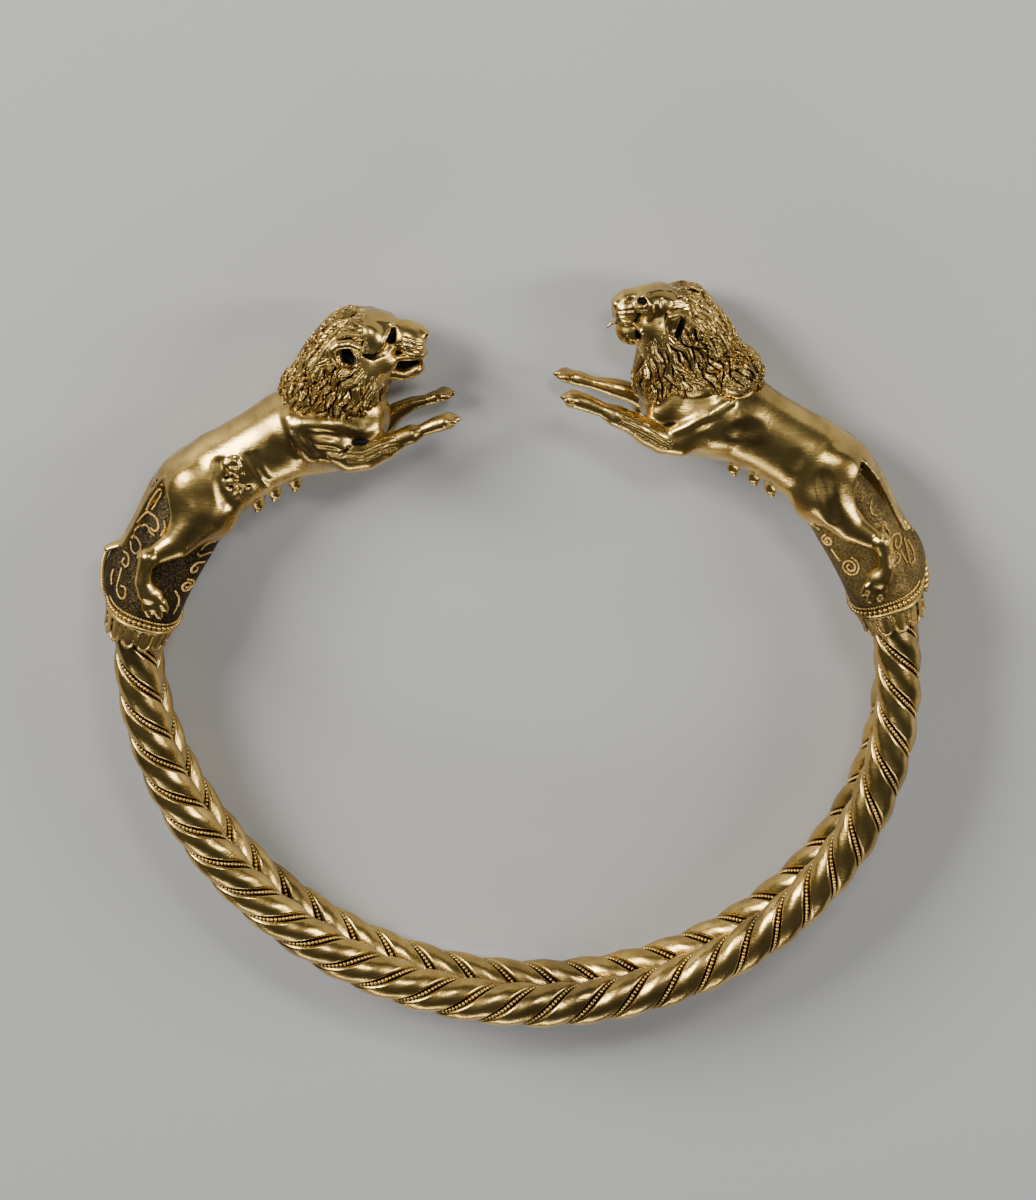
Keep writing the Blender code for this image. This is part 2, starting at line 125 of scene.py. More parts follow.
# %% Floor, lights and world
FLOOR_SIZE = 1.6
FLOOR_COLOUR = (0.42, 0.42, 0.41, 1.0)
LIGHT_COLOUR = (1.0, 0.985, 0.96)
WORLD_COLOUR = (0.048, 0.052, 0.060, 1.0)
floor_mesh = bpy.data.meshes.new("floor")
half = FLOOR_SIZE / 2
floor_mesh.from_pydata([(-half, -half, 0), (half, -half, 0), (half, half, 0), (-half, half, 0)],
                       [], [(0, 1, 2, 3)])
floor = bpy.data.objects.new("floor", floor_mesh)
bpy.context.scene.collection.objects.link(floor)
floor_paint = bpy.data.materials.new("pale floor")
floor_paint.use_nodes = True
floor_shader = floor_paint.node_tree.nodes["Principled BSDF"]
floor_shader.inputs["Base Color"].default_value = FLOOR_COLOUR
floor_shader.inputs["Roughness"].default_value = 0.55
floor_mesh.materials.append(floor_paint)


def softbox(name, place, size, power):
    """A soft rectangular light that looks at the bracelet."""
    light = bpy.data.lights.new(name, "AREA")
    light.shape = "RECTANGLE"
    light.size, light.size_y = size
    light.energy = power
    light.color = LIGHT_COLOUR
    holder = bpy.data.objects.new(name, light)
    bpy.context.scene.collection.objects.link(holder)
    holder.location = place
    holder.rotation_euler = (aim - Vector(place)).to_track_quat("-Z", "Y").to_euler()


softbox("left softbox", (-0.42, 0.36, 0.36), (0.22, 0.30), 6.4)
softbox("right softbox", (0.46, 0.10, 0.26), (0.10, 0.26), 1.7)
softbox("low strip", (-0.10, -0.50, 0.20), (0.44, 0.05), 0.9)
softbox("top softbox", (0.12, 0.44, 0.50), (0.16, 0.08), 1.6)
world = bpy.data.worlds.new("studio")
bpy.context.scene.world = world
world.use_nodes = True
world.node_tree.nodes["Background"].inputs["Color"].default_value = WORLD_COLOUR
world.node_tree.nodes["Background"].inputs["Strength"].default_value = 1.0
print("lights:", [item.name for item in bpy.data.lights])

# %% [markdown]
# ## Gold
# Old gold is not one colour. It is pale where it is rubbed and browner where a thin tarnish stays in
# clouds. It is also nearly black in the grooves and hollows; this is painted shade, with some dirt. Each
# piece carries two values on its points, worked out from its own shape, and one material recipe reads
# them. Recess says how enclosed a point is, and so how much painted shade it gets. Strand says how far
# across a lock of hair it lies, and places the chased hairs. The recipe is built from a few small
# helpers, so that each line of it reads as one step.

# %% Helpers for nodes
def add_node(tree, kind, inputs=(), **settings):
    """A node with its settings; each given input is a value to set or an output to link."""
    node = tree.nodes.new(kind)
    for key, value in settings.items():
        setattr(node, key, value)
    for key, value in dict(inputs).items():
        if isinstance(value, bpy.types.NodeSocket):
            tree.links.new(value, node.inputs[key])
        else:
            node.inputs[key].default_value = value
    return node


def math_node(tree, operation, *values):
    """A math node; each value is a number or an output to link."""
    return add_node(tree, "ShaderNodeMath", enumerate(values), operation=operation).outputs[0]


def ramp(tree, value, low, high, to_low=0.0, to_high=1.0, kind="SMOOTHSTEP"):
    """Turns a value that runs from low to high into one that runs over another range."""
    inputs = {"Value": value, "From Min": low, "From Max": high, "To Min": to_low, "To Max": to_high}
    return add_node(tree, "ShaderNodeMapRange", inputs, interpolation_type=kind).outputs["Result"]


def noise(tree, place, scale, detail, roughness=0.5):
    """A cloudy value at every place; the scale is in clouds to the metre."""
    inputs = {"Vector": place, "Scale": scale, "Detail": detail, "Roughness": roughness}
    return add_node(tree, "ShaderNodeTexNoise", inputs).outputs["Fac"]


def blended(tree, share, first, second):
    """One colour that turns into another as the share grows."""
    inputs = {"Factor": share, "A": first, "B": second}
    return add_node(tree, "ShaderNodeMix", inputs, data_type="RGBA").outputs["Result"]


def bumped(tree, height, strength, distance, under=(), sunk=False):
    """A height laid over the bumps under it; the distance is in metres."""
    inputs = {"Height": height, "Strength": strength, "Distance": distance, **dict(under)}
    return add_node(tree, "ShaderNodeBump", inputs, invert=sunk).outputs["Normal"]


print("node helpers ready")

# %% [markdown]
# The colours run from rubbed gold to near black. Two noises mix the gold itself: small warm patches and
# large tarnished clouds. Painted shade, with some dirt, gathers by recess and in the hair lines, with a
# fine speckle at its edge, and it is duller than metal. Scratches, hammer waves and hairs are three
# layers of bump.

# %% The recipe for every gold on the bracelet
RUBBED = (0.74, 0.51, 0.16, 1.0)
WARM = (0.42, 0.27, 0.075, 1.0)
TARNISH = (0.17, 0.115, 0.045, 1.0)
# Near black for the grooves and hollows: painted shade, with some dirt.
SHADE_AND_GRIME = (0.010, 0.009, 0.010, 1.0)
HAIR_GAP = 0.27
HAIR_LINE_SHADE_AND_DIRT = 0.55
SPECKLE = 0.4
SCRATCH_SCALE = (900.0, 5200.0, 2600.0)
SCRATCH_TURN = (0.3, 0.2, 0.7)


def hair_lines(tree, across):
    """Chased lines side by side: nought on the metal, rising to one in the cut of a line."""
    wave = math_node(tree, "COSINE", math_node(tree, "MULTIPLY", across, math.pi / HAIR_GAP))
    return ramp(tree, math_node(tree, "ABSOLUTE", wave), 0.75, 0.0)


def aged_gold(name, rough, shade_and_grime_from, shade_and_grime_to, scratches, dents):
    """Gold whose painted shade, with some dirt, starts and ends at two values of recess."""
    material = bpy.data.materials.new(name)
    material.use_nodes = True
    tree = material.node_tree
    place = add_node(tree, "ShaderNodeTexCoord").outputs["Object"]
    recess, strand = (add_node(tree, "ShaderNodeAttribute", attribute_name=value).outputs["Fac"]
                      for value in ("recess", "strand"))
    hairs = hair_lines(tree, strand)

    patches = noise(tree, place, 260.0, 6.0, 0.62)
    metal = blended(tree, ramp(tree, patches, 0.38, 0.66, kind="LINEAR"), RUBBED, WARM)
    clouds = noise(tree, place, 95.0, 5.0, 0.6)
    metal = blended(tree, ramp(tree, clouds, 0.46, 0.70, to_high=0.75), metal, TARNISH)

    # Painted shade, with some dirt: by recess and in the chased hair lines, with a speckled edge.
    hollow = math_node(tree, "MULTIPLY_ADD", hairs, HAIR_LINE_SHADE_AND_DIRT, recess)
    speckled = math_node(tree, "MULTIPLY_ADD", noise(tree, place, 4600.0, 5.0), SPECKLE, hollow)
    middle = SPECKLE / 2
    shade_and_dirt = ramp(tree, speckled, shade_and_grime_from + middle, shade_and_grime_to + middle)
    gloss = ramp(tree, patches, 0.0, 1.0, rough - 0.07, rough + 0.12, "LINEAR")

    turned = add_node(tree, "ShaderNodeMapping",
                      {"Vector": place, "Scale": SCRATCH_SCALE, "Rotation": SCRATCH_TURN})
    lines = noise(tree, turned.outputs["Vector"], 1.0, 3.0)
    normal = bumped(tree, lines, scratches, 0.00003)
    normal = bumped(tree, noise(tree, place, 700.0, 2.5), dents, 0.00012, {"Normal": normal})
    normal = bumped(tree, hairs, 1.0, 0.00010, {"Normal": normal}, sunk=True)

    shader = tree.nodes["Principled BSDF"]
    shader.inputs["Metallic"].default_value = 1.0
    tree.links.new(blended(tree, shade_and_dirt, metal, SHADE_AND_GRIME), shader.inputs["Base Color"])
    tree.links.new(math_node(tree, "MULTIPLY_ADD", shade_and_dirt, 0.35, gloss), shader.inputs["Roughness"])
    tree.links.new(normal, shader.inputs["Normal"])
    return material


hoop_gold = aged_gold("worn hoop gold", 0.24, 0.15, 0.55, 0.5, 0.45)
wire_gold = aged_gold("bead wire gold", 0.30, 0.55, 1.00, 0.3, 0.2)
cuff_gold = aged_gold("worn cuff gold", 0.34, 0.10, 0.60, 0.5, 0.6)
animal_gold = aged_gold("worn lioness gold", 0.24, 0.25, 0.85, 0.5, 0.4)
print("golds:", [material.name for material in bpy.data.materials if "gold" in material.name])

# %% [markdown]
# ## Handing a piece over
# Every piece ends the same way. It gets its gold and smooth shading, it rides on the bracelet's one
# body, and the solid that it stands for is hidden. Wires stand for no solid of their own, so they
# hide none.

# %% Reading, marking and finishing a mesh
def points_of(mesh):
    """Coordinates of all points of a mesh, one row for each."""
    points = np.empty(len(mesh.vertices) * 3)
    mesh.vertices.foreach_get("co", points)
    return points.reshape(-1, 3)


def mark(mesh, name, values):
    """Keeps a number on every point of a mesh, for the gold recipe to read."""
    numbers = np.zeros(len(mesh.vertices), dtype=np.float32)
    numbers[:] = values
    mesh.attributes.new(name, "FLOAT", "POINT").data.foreach_set("value", numbers)


def finish_piece(name, mesh, material, nodes):
    """Links a finished mesh as a piece that rides on the bracelet and stands for its nodes."""
    piece = bpy.data.objects.new(name, mesh)
    bpy.context.scene.collection.objects.link(piece)
    mesh.materials.clear()
    mesh.materials.append(material)
    mesh.shade_smooth()
    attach(piece, "root")
    if nodes:
        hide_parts(*nodes)
    triangles = sum(len(face.vertices) - 2 for face in mesh.polygons)
    print(f"{name}: {triangles} triangles")


# %% [markdown]
# ## The twisted tubes
# Each tube was a strip of sheet gold closed round a core and twisted, so its section is three
# broad lobes with a narrow groove between each two. The section turns once in 14 mm, and the two
# tubes turn opposite ways, which makes the herringbone of the hoop. A shape that follows one rule
# along a path suits Geometry Nodes: the path is drawn once, and the rule is a few named inputs.

# %% Paths, and a way to set a group's inputs
PITCH = 14.0
LOBES = 3
TUBE_INSERT = 0.8
HANDS = {"front": -1, "back": 1}
LEVELS = {"front": HOOP_Z + TUBE_SPACING / 2, "back": HOOP_Z - TUBE_SPACING / 2}


def hoop_path(count):
    """Evenly spaced points of the tubes' centre line, and how far along it each lies."""
    overrun = TUBE_INSERT / HOOP_HALF_LONG
    dense = oval_point(np.linspace(LEFT_ANGLE - overrun, RIGHT_ANGLE + overrun, 3000))
    steps = np.linalg.norm(np.diff(dense, axis=0), axis=1)
    along = np.concatenate([[0.0], np.cumsum(steps)])
    places = np.linspace(0.0, along[-1], count)
    flat = np.stack([np.interp(places, along, dense[:, axis]) for axis in range(2)], axis=1)
    return flat + (HOOP_X, HOOP_Y), places


def curve_object(name, paths, closed=False):
    """A curve with one straight-edged spline for each list of points, in millimetres."""
    curve = bpy.data.curves.new(name, "CURVE")
    curve.dimensions = "3D"
    for path in paths:
        spline = curve.splines.new("POLY")
        spline.points.add(len(path) - 1)
        flat = np.concatenate([np.asarray(path) * MM, np.ones((len(path), 1))], axis=1)
        spline.points.foreach_set("co", flat.astype(np.float32).ravel())
        spline.use_cyclic_u = closed
    holder = bpy.data.objects.new(name, curve)
    bpy.context.scene.collection.objects.link(holder)
    return holder


def new_group(name, inputs):
    """An empty node group for curves, with named inputs and their starting values."""
    tree = bpy.data.node_groups.new(name, "GeometryNodeTree")
    tree.is_modifier = True
    tree.interface.new_socket("Geometry", in_out="INPUT", socket_type="NodeSocketGeometry")
    for label, value in inputs.items():
        kind = "NodeSocketInt" if isinstance(value, int) else "NodeSocketFloat"
        if isinstance(value, bpy.types.Material):
            kind = "NodeSocketMaterial"
        tree.interface.new_socket(label, in_out="INPUT", socket_type=kind).default_value = value
    tree.interface.new_socket("Geometry", in_out="OUTPUT", socket_type="NodeSocketGeometry")
    return tree, tree.nodes.new("NodeGroupInput").outputs


def close_group(tree, geometry, gold):
    """The end of every group: copies become real geometry, and it gets its gold."""
    real = add_node(tree, "GeometryNodeRealizeInstances", {"Geometry": geometry})
    painted = add_node(tree, "GeometryNodeSetMaterial",
                       {"Geometry": real.outputs["Geometry"], "Material": gold})
    add_node(tree, "NodeGroupOutput", {0: painted.outputs["Geometry"]})
    return tree


def grown(holder, tree, **values):
    """Runs a node group on a curve and returns the plain mesh; the curve is then removed."""
    step = holder.modifiers.new("grow", "NODES")
    step.node_group = tree
    for item in tree.interface.items_tree:
        if item.item_type == "SOCKET" and item.in_out == "INPUT" and item.name in values:
            step[item.identifier] = values[item.name]
    holder.update_tag()
    bpy.context.view_layer.update()
    graph = bpy.context.evaluated_depsgraph_get()
    mesh = bpy.data.meshes.new_from_object(holder.evaluated_get(graph), depsgraph=graph)
    mesh.name = holder.name
    bpy.data.objects.remove(holder)
    return mesh


print("tube path, mm:", round(hoop_path(2)[1][-1], 1))

# %% [markdown]
# The section starts as a circle. The distance round the circle to the nearest groove decides how
# far each of its points is pulled in, and the same number is kept as recess, so the groove gets
# painted shade in the finish as well. The path then gets its tilt, and the section is swept along it.
# Last, a slow noise pushes the skin in and out by a few hundredths of a millimetre, as worn sheet is.

# %% The twisted tube's node group
DENT_SCALE = 420.0
DENT_MIDDLE = 0.62


def twisted_tube_group():
    """Sweeps a lobed section along a path while it turns."""
    inputs = {"Radius": 0.0025, "Groove depth": 0.00064, "Groove from": 0.15, "Groove to": 0.31,
              "Sag": 0.00028, "Pitch": 0.014, "Hand": 1.0, "Rings": 420, "Sides": 72,
              "Dents": 0.00007, "Gold": hoop_gold}
    tree, given = new_group("twisted tube", inputs)
    circle = add_node(tree, "GeometryNodeCurvePrimitiveCircle", {"Resolution": given["Sides"]})
    place = add_node(tree, "GeometryNodeInputPosition").outputs[0]
    apart = add_node(tree, "ShaderNodeSeparateXYZ", {0: place})
    angle = math_node(tree, "ARCTAN2", apart.outputs["Y"], apart.outputs["X"])
    away = math_node(tree, "PINGPONG", angle, math.pi / LOBES)
    wall = ramp(tree, away, given["Groove from"], given["Groove to"], 1.0, 0.0)
    dome = ramp(tree, away, 0.0, math.pi / LOBES, 1.0, 0.0)
    pulled = math_node(tree, "MULTIPLY", wall, given["Groove depth"])
    sagged = math_node(tree, "MULTIPLY", dome, given["Sag"])
    reach = math_node(tree, "SUBTRACT", given["Radius"], math_node(tree, "ADD", pulled, sagged))
    unit = add_node(tree, "ShaderNodeVectorMath", {0: place}, operation="NORMALIZE")
    sized = add_node(tree, "ShaderNodeVectorMath", {0: unit.outputs[0], "Scale": reach},
                     operation="SCALE")
    section = add_node(tree, "GeometryNodeSetPosition",
                       {"Geometry": circle.outputs["Curve"], "Position": sized.outputs[0]})
    # The groove's share is kept as recess, which paints shade into the groove.
    dark = add_node(tree, "GeometryNodeStoreNamedAttribute",
                    {"Geometry": section.outputs["Geometry"], "Name": "recess", "Value": wall},
                    data_type="FLOAT", domain="POINT")

    even = add_node(tree, "GeometryNodeResampleCurve",
                    {"Curve": given["Geometry"], "Count": given["Rings"]})
    upright = add_node(tree, "GeometryNodeSetCurveNormal", {"Curve": even.outputs["Curve"]},
                       mode="Z_UP")
    length = add_node(tree, "GeometryNodeSplineParameter").outputs["Length"]
    turns = math_node(tree, "DIVIDE", length, given["Pitch"])
    turn = math_node(tree, "MULTIPLY", turns, math_node(tree, "MULTIPLY", given["Hand"], 2 * math.pi))
    tilted = add_node(tree, "GeometryNodeSetCurveTilt",
                      {"Curve": upright.outputs["Curve"], "Tilt": turn})
    swept = add_node(tree, "GeometryNodeCurveToMesh",
                     {"Curve": tilted.outputs["Curve"], "Profile Curve": dark.outputs["Geometry"],
                      "Fill Caps": True})

    dents = add_node(tree, "ShaderNodeTexNoise", {"Scale": DENT_SCALE, "Detail": 1.0})
    centred = math_node(tree, "SUBTRACT", dents.outputs["Fac"], DENT_MIDDLE)
    depth = math_node(tree, "MULTIPLY", centred, given["Dents"])
    normal = add_node(tree, "GeometryNodeInputNormal").outputs["Normal"]
    inwards = add_node(tree, "ShaderNodeVectorMath", {0: normal, "Scale": depth}, operation="SCALE")
    worn = add_node(tree, "GeometryNodeSetPosition",
                    {"Geometry": swept.outputs["Mesh"], "Offset": inwards.outputs[0]})
    split = add_node(tree, "GeometryNodeTriangulate", {"Mesh": worn.outputs["Geometry"]})
    return close_group(tree, split.outputs["Mesh"], given["Gold"])


tube_group = twisted_tube_group()
print("inputs of the tube group:", [item.name for item in tube_group.interface.items_tree])

# %% [markdown]
# Both tubes use the same group. They differ in their level and in the hand of the twist, and the
# height of each is the level of its solid.

# %% Both tubes
path_points, _ = hoop_path(900)
for word in ("front", "back"):
    height = np.full((len(path_points), 1), LEVELS[word])
    holder = curve_object(f"{word} tube", [np.hstack([path_points, height])])
    mesh = grown(holder, tube_group, Hand=float(HANDS[word]), Pitch=PITCH * MM)
    finish_piece(f"{word}_tube_skin", mesh, hoop_gold, [f"{word}_twisted_tube"])

# %% [markdown]
# ## The beaded wires in the grooves
# A fine wire rolled into a row of beads lies in every groove, and only its tops catch the light.
# Its path is the groove's own screw line. A second node group sets small balls along any path, so
# the same group also makes the beaded borders of the cuffs. A third sweeps a plain round wire.

# %% Node groups for beaded and for plain wire
def beaded_wire_group():
    """Sets slightly uneven balls at even steps along a path."""
    inputs = {"Spacing": 0.00042, "Bead radius": 0.00024, "Uneven": 0.12, "Segments": 7,
              "Rings": 4, "Seed": 3, "Gold": wire_gold}
    tree, given = new_group("beaded wire", inputs)
    even = add_node(tree, "GeometryNodeResampleCurve",
                    {"Curve": given["Geometry"], "Length": given["Spacing"]}, mode="LENGTH")
    bead = add_node(tree, "GeometryNodeMeshUVSphere",
                    {"Segments": given["Segments"], "Rings": given["Rings"],
                     "Radius": given["Bead radius"]})
    smallest = math_node(tree, "SUBTRACT", 1.0, given["Uneven"])
    size = add_node(tree, "FunctionNodeRandomValue",
                    {"Min": smallest, "Max": 1.0, "Seed": given["Seed"]}, data_type="FLOAT")
    strung = add_node(tree, "GeometryNodeInstanceOnPoints",
                      {"Points": even.outputs["Curve"], "Instance": bead.outputs["Mesh"],
                       "Scale": size.outputs["Value"]})
    return close_group(tree, strung.outputs["Instances"], given["Gold"])


def plain_wire_group():
    """Sweeps a round section along a path."""
    tree, given = new_group("plain wire", {"Radius": 0.00015, "Sides": 7, "Gold": wire_gold})
    circle = add_node(tree, "GeometryNodeCurvePrimitiveCircle",
                      {"Resolution": given["Sides"], "Radius": given["Radius"]})
    swept = add_node(tree, "GeometryNodeCurveToMesh",
                     {"Curve": given["Geometry"], "Profile Curve": circle.outputs["Curve"],
                      "Fill Caps": True})
    return close_group(tree, swept.outputs["Mesh"], given["Gold"])


bead_group = beaded_wire_group()
wire_group = plain_wire_group()
print("wire groups:", bead_group.name, "and", wire_group.name)

# %% [markdown]
# Three grooves on each tube make six screw lines. A bead gets painted shade where it sits deep between
# the lobes and none where its top comes up to the tube's skin, so its recess is found from how far
# it is from the tube's centre line.

# %% Six screw lines of beads
WIRE_REACH = 2.0
BRIGHT_REACH = 2.22
DARK_DEPTH = 0.2
FIRST_SEED = 3


def groove_lines(word):
    """Points of the three grooves of a tube, at the height where the beads sit."""
    flat, places = hoop_path(1800)
    tangent = np.gradient(flat, axis=0)
    tangent /= np.linalg.norm(tangent, axis=1)[:, None]
    sideways = np.stack([tangent[:, 1], -tangent[:, 0]], axis=1)
    lines = []
    for groove in range(LOBES):
        angle = 2 * math.pi * (groove / LOBES - HANDS[word] * places / PITCH)
        out = WIRE_REACH * np.cos(angle)
        up = WIRE_REACH * np.sin(angle)
        lines.append(np.column_stack([flat + sideways * out[:, None], LEVELS[word] + up]))
    return lines


def tube_distance(corners, word):
    """How far each point, in millimetres, is from a tube's centre line."""
    x, y = corners[:, 0] - HOOP_X, corners[:, 1] - HOOP_Y
    outward = np.hypot(x, y) - oval(np.arctan2(y, x))
    return np.hypot(outward, corners[:, 2] - LEVELS[word])


for number, word in enumerate(("front", "back")):
    mesh = grown(curve_object(f"{word} wires", groove_lines(word)), bead_group, Seed=number + FIRST_SEED)
    distance = tube_distance(points_of(mesh) / MM, word)
    # Painted shade: beads sunk deep between the lobes get recess, their tops none.
    mark(mesh, "recess", np.clip((BRIGHT_REACH - distance) / DARK_DEPTH, 0.0, 1.0))
    finish_piece(f"{word}_beaded_wires", mesh, wire_gold, [])

# %% [markdown]
# ## Modelling the lionesses like wax
# Each lioness was worked from sheet gold over a core, with the fur and face chased in. Here she
# is built up as a wax would be, in a grid of small cells. Every cell holds its distance from the
# surface. Adding a lump keeps the smaller distance, cutting keeps the larger, and a soft choice
# between the two gives the rounded joins of worked metal.

# %% A block of wax
class Wax:
    """A grid of distances in millimetres, in the figure's own axes.

    x runs towards the other animal, y towards the head and z out of the picture.
    """

    def __init__(self, low, high, cell):
        self.cell = cell
        self.low = np.array(low, dtype=float)
        counts = np.ceil((np.array(high) - self.low) / cell).astype(int) + 1
        self.lines = [self.low[axis] + cell * np.arange(counts[axis]) for axis in range(3)]
        self.field = np.full(counts, 3.0, dtype=np.float32)
        self.strand = np.zeros(counts, dtype=np.float32)

    def copy(self):
        """The same grid with its own field, to measure on while the wax is worked."""
        twin = object.__new__(Wax)
        twin.cell, twin.low, twin.lines = self.cell, self.low, self.lines
        twin.field = self.field.copy()
        return twin

    def near(self, low, high):
        """The part of the grid between two corners, and its three coordinates."""
        cuts = []
        for axis in range(3):
            first = int(np.floor((low[axis] - self.low[axis]) / self.cell))
            last = int(np.ceil((high[axis] - self.low[axis]) / self.cell)) + 1
            cuts.append(slice(max(first, 0), max(last, 0)))
        x, y, z = (self.lines[axis][cuts[axis]] for axis in range(3))
        return tuple(cuts), x[:, None, None], y[None, :, None], z[None, None, :]

    def put(self, cuts, distance, blend):
        """Adds wax, rounding the join over the blend length."""
        old = self.field[cuts]
        share = np.clip(0.5 + 0.5 * (old - distance) / blend, 0.0, 1.0)
        self.field[cuts] = old + (distance - old) * share - blend * share * (1 - share)

    def take(self, cuts, distance, blend):
        """Cuts wax away, rounding the edge over the blend length."""
        old = self.field[cuts]
        share = np.clip(0.5 - 0.5 * (old + distance) / blend, 0.0, 1.0)
        self.field[cuts] = old - (distance + old) * share + blend * share * (1 - share)

    def ball(self, centre, radii, turn=0.0, blend=0.4, cut=False, sides=(1, -1)):
        """A ball squashed to three radii and turned in the picture plane, on each side."""
        angle = math.radians(turn)
        reach = max(radii) + blend + 3 * self.cell
        for side in sides if centre[2] else (1,):
            middle = np.array((centre[0], centre[1], centre[2] * side))
            cuts, x, y, z = self.near(middle - reach, middle + reach)
            along = (x - middle[0]) * math.cos(angle) + (y - middle[1]) * math.sin(angle)
            across = (y - middle[1]) * math.cos(angle) - (x - middle[0]) * math.sin(angle)
            deep = z - middle[2]
            first = np.sqrt((along / radii[0]) ** 2 + (across / radii[1]) ** 2 + (deep / radii[2]) ** 2)
            second = np.sqrt((along / radii[0] ** 2) ** 2 + (across / radii[1] ** 2) ** 2
                             + (deep / radii[2] ** 2) ** 2)
            distance = first * (first - 1.0) / np.maximum(second, 1e-6)
            (self.take if cut else self.put)(cuts, distance, blend)

    def limb(self, stations, blend=0.3, cut=False, sides=(1, -1), flat=1.0):
        """Tapered stretches between stations (x, y, z, radius); flat below 1 thins it in z."""
        stations = np.asarray(stations, dtype=float)
        one_side = np.all(stations[:, 2] == 0.0)
        for side in (1,) if one_side else sides:
            places = stations[:, :3] * (1, 1, side)
            reach = stations[:, 3].max() + blend + 3 * self.cell
            cuts, x, y, z = self.near(places.min(axis=0) - reach, places.max(axis=0) + reach)
            best = None
            for start, end, big, small in zip(places, places[1:], stations[:, 3], stations[1:, 3]):
                step = (end - start) * (1, 1, 1 / flat)
                dx, dy, dz = x - start[0], y - start[1], (z - start[2]) / flat
                share = np.clip((dx * step[0] + dy * step[1] + dz * step[2]) / (step @ step), 0, 1)
                gap = np.sqrt((dx - share * step[0]) ** 2 + (dy - share * step[1]) ** 2
                              + (dz - share * step[2]) ** 2)
                distance = gap - big - (small - big) * share
                best = distance if best is None else np.minimum(best, distance)
            (self.take if cut else self.put)(cuts, best * min(flat, 1.0), blend)

    def surface(self, x, y, side=1):
        """Height of the surface over a place of the picture plane, on the chosen side."""
        column = self.field[int(round((x - self.low[0]) / self.cell)),
                            int(round((y - self.low[1]) / self.cell))]
        order = column[::-1] if side > 0 else column
        inside = np.flatnonzero(order < 0)
        if len(inside) == 0:
            return 0.0
        index = inside[0]
        share = order[index - 1] / (order[index - 1] - order[index])
        back = (index - 1 + share) * self.cell
        return self.lines[2][-1] - back if side > 0 else -(self.lines[2][0] + back)

    def trace(self, path, radius, rise=0.0, blend=0.12, cut=True, sides=(1, -1)):
        """A chased line, or a raised thread, that follows the surface under (x, y) points."""
        for side in sides:
            deep = [self.surface(x, y, side) + rise for x, y in path]
            stations = [(x, y, z, radius) for (x, y), z in zip(path, deep)]
            self.limb(stations, blend=blend, cut=cut, sides=(side,))


# %% [markdown]
# A lock of hair or a wire has to lie on the surface, and a point on it rarely falls on a cell. The
# eight cells round a point are weighed by how near they are, which gives a smooth value. The way
# in which the distance grows is the way up from the surface, and points are moved along it.

# %% Reading the wax between its cells
def sample(grid, points):
    """Value of a grid at points given in cells, between its cells as well."""
    base = np.clip(np.floor(points).astype(int), 0, np.array(grid.shape) - 2)
    part = points - base
    total = 0.0
    for corner in range(8):
        offset = np.array((corner & 1, corner >> 1 & 1, corner >> 2 & 1))
        weight = np.prod(np.where(offset, part, 1 - part), axis=1)
        spot = base + offset
        total = total + weight * grid[spot[:, 0], spot[:, 1], spot[:, 2]]
    return total


def settle(wax, points, height):
    """Moves points to a height over the wax, and returns them with the way up from it."""
    for _ in range(3):
        cells = (points - wax.low) / wax.cell
        steps = np.eye(3) * 0.8
        slope = np.stack([sample(wax.field, cells + step) - sample(wax.field, cells - step)
                          for step in steps], axis=1)
        upwards = slope / np.maximum(np.linalg.norm(slope, axis=1), 1e-6)[:, None]
        points = points + upwards * (height - sample(wax.field, cells))[:, None]
    return points, upwards


print("a wax block can be added to, cut, chased and measured")

# %% [markdown]
# A wax becomes a mesh by taking the surface where the distance is nought. The same grid tells how
# enclosed each point is: the share of solid metal round a point is a half on flat ground, more in
# a hollow and less on an edge. Measured over a small and a wide reach, that share is the recess.

# %% From wax to metal
NARROW_REACH = 0.3
WIDE_REACH = 1.0


def blurred(solid, cells):
    """Average of a grid over a cube that reaches this many cells each way."""
    for axis in range(3):
        width = 2 * cells + 1
        padding = [(0, 0)] * 3
        padding[axis] = (cells + 1, cells)
        total = np.cumsum(np.pad(solid, padding, mode="edge"), axis=axis, dtype=np.float32)
        upper = [slice(None)] * 3
        lower = [slice(None)] * 3
        upper[axis] = slice(width, None)
        lower[axis] = slice(None, -width)
        solid = (total[tuple(upper)] - total[tuple(lower)]) / width
    return solid


def thinned(mesh, wanted):
    """The mesh with about the wanted number of triangles, fewest where it is smooth."""
    holder = bpy.data.objects.new(mesh.name, mesh)
    bpy.context.scene.collection.objects.link(holder)
    step = holder.modifiers.new("thin", "DECIMATE")
    step.ratio = min(1.0, wanted / (2 * len(mesh.polygons)))
    graph = bpy.context.evaluated_depsgraph_get()
    thin = bpy.data.meshes.new_from_object(holder.evaluated_get(graph), depsgraph=graph)
    bpy.data.objects.remove(holder)
    bpy.data.meshes.remove(mesh)
    return thin


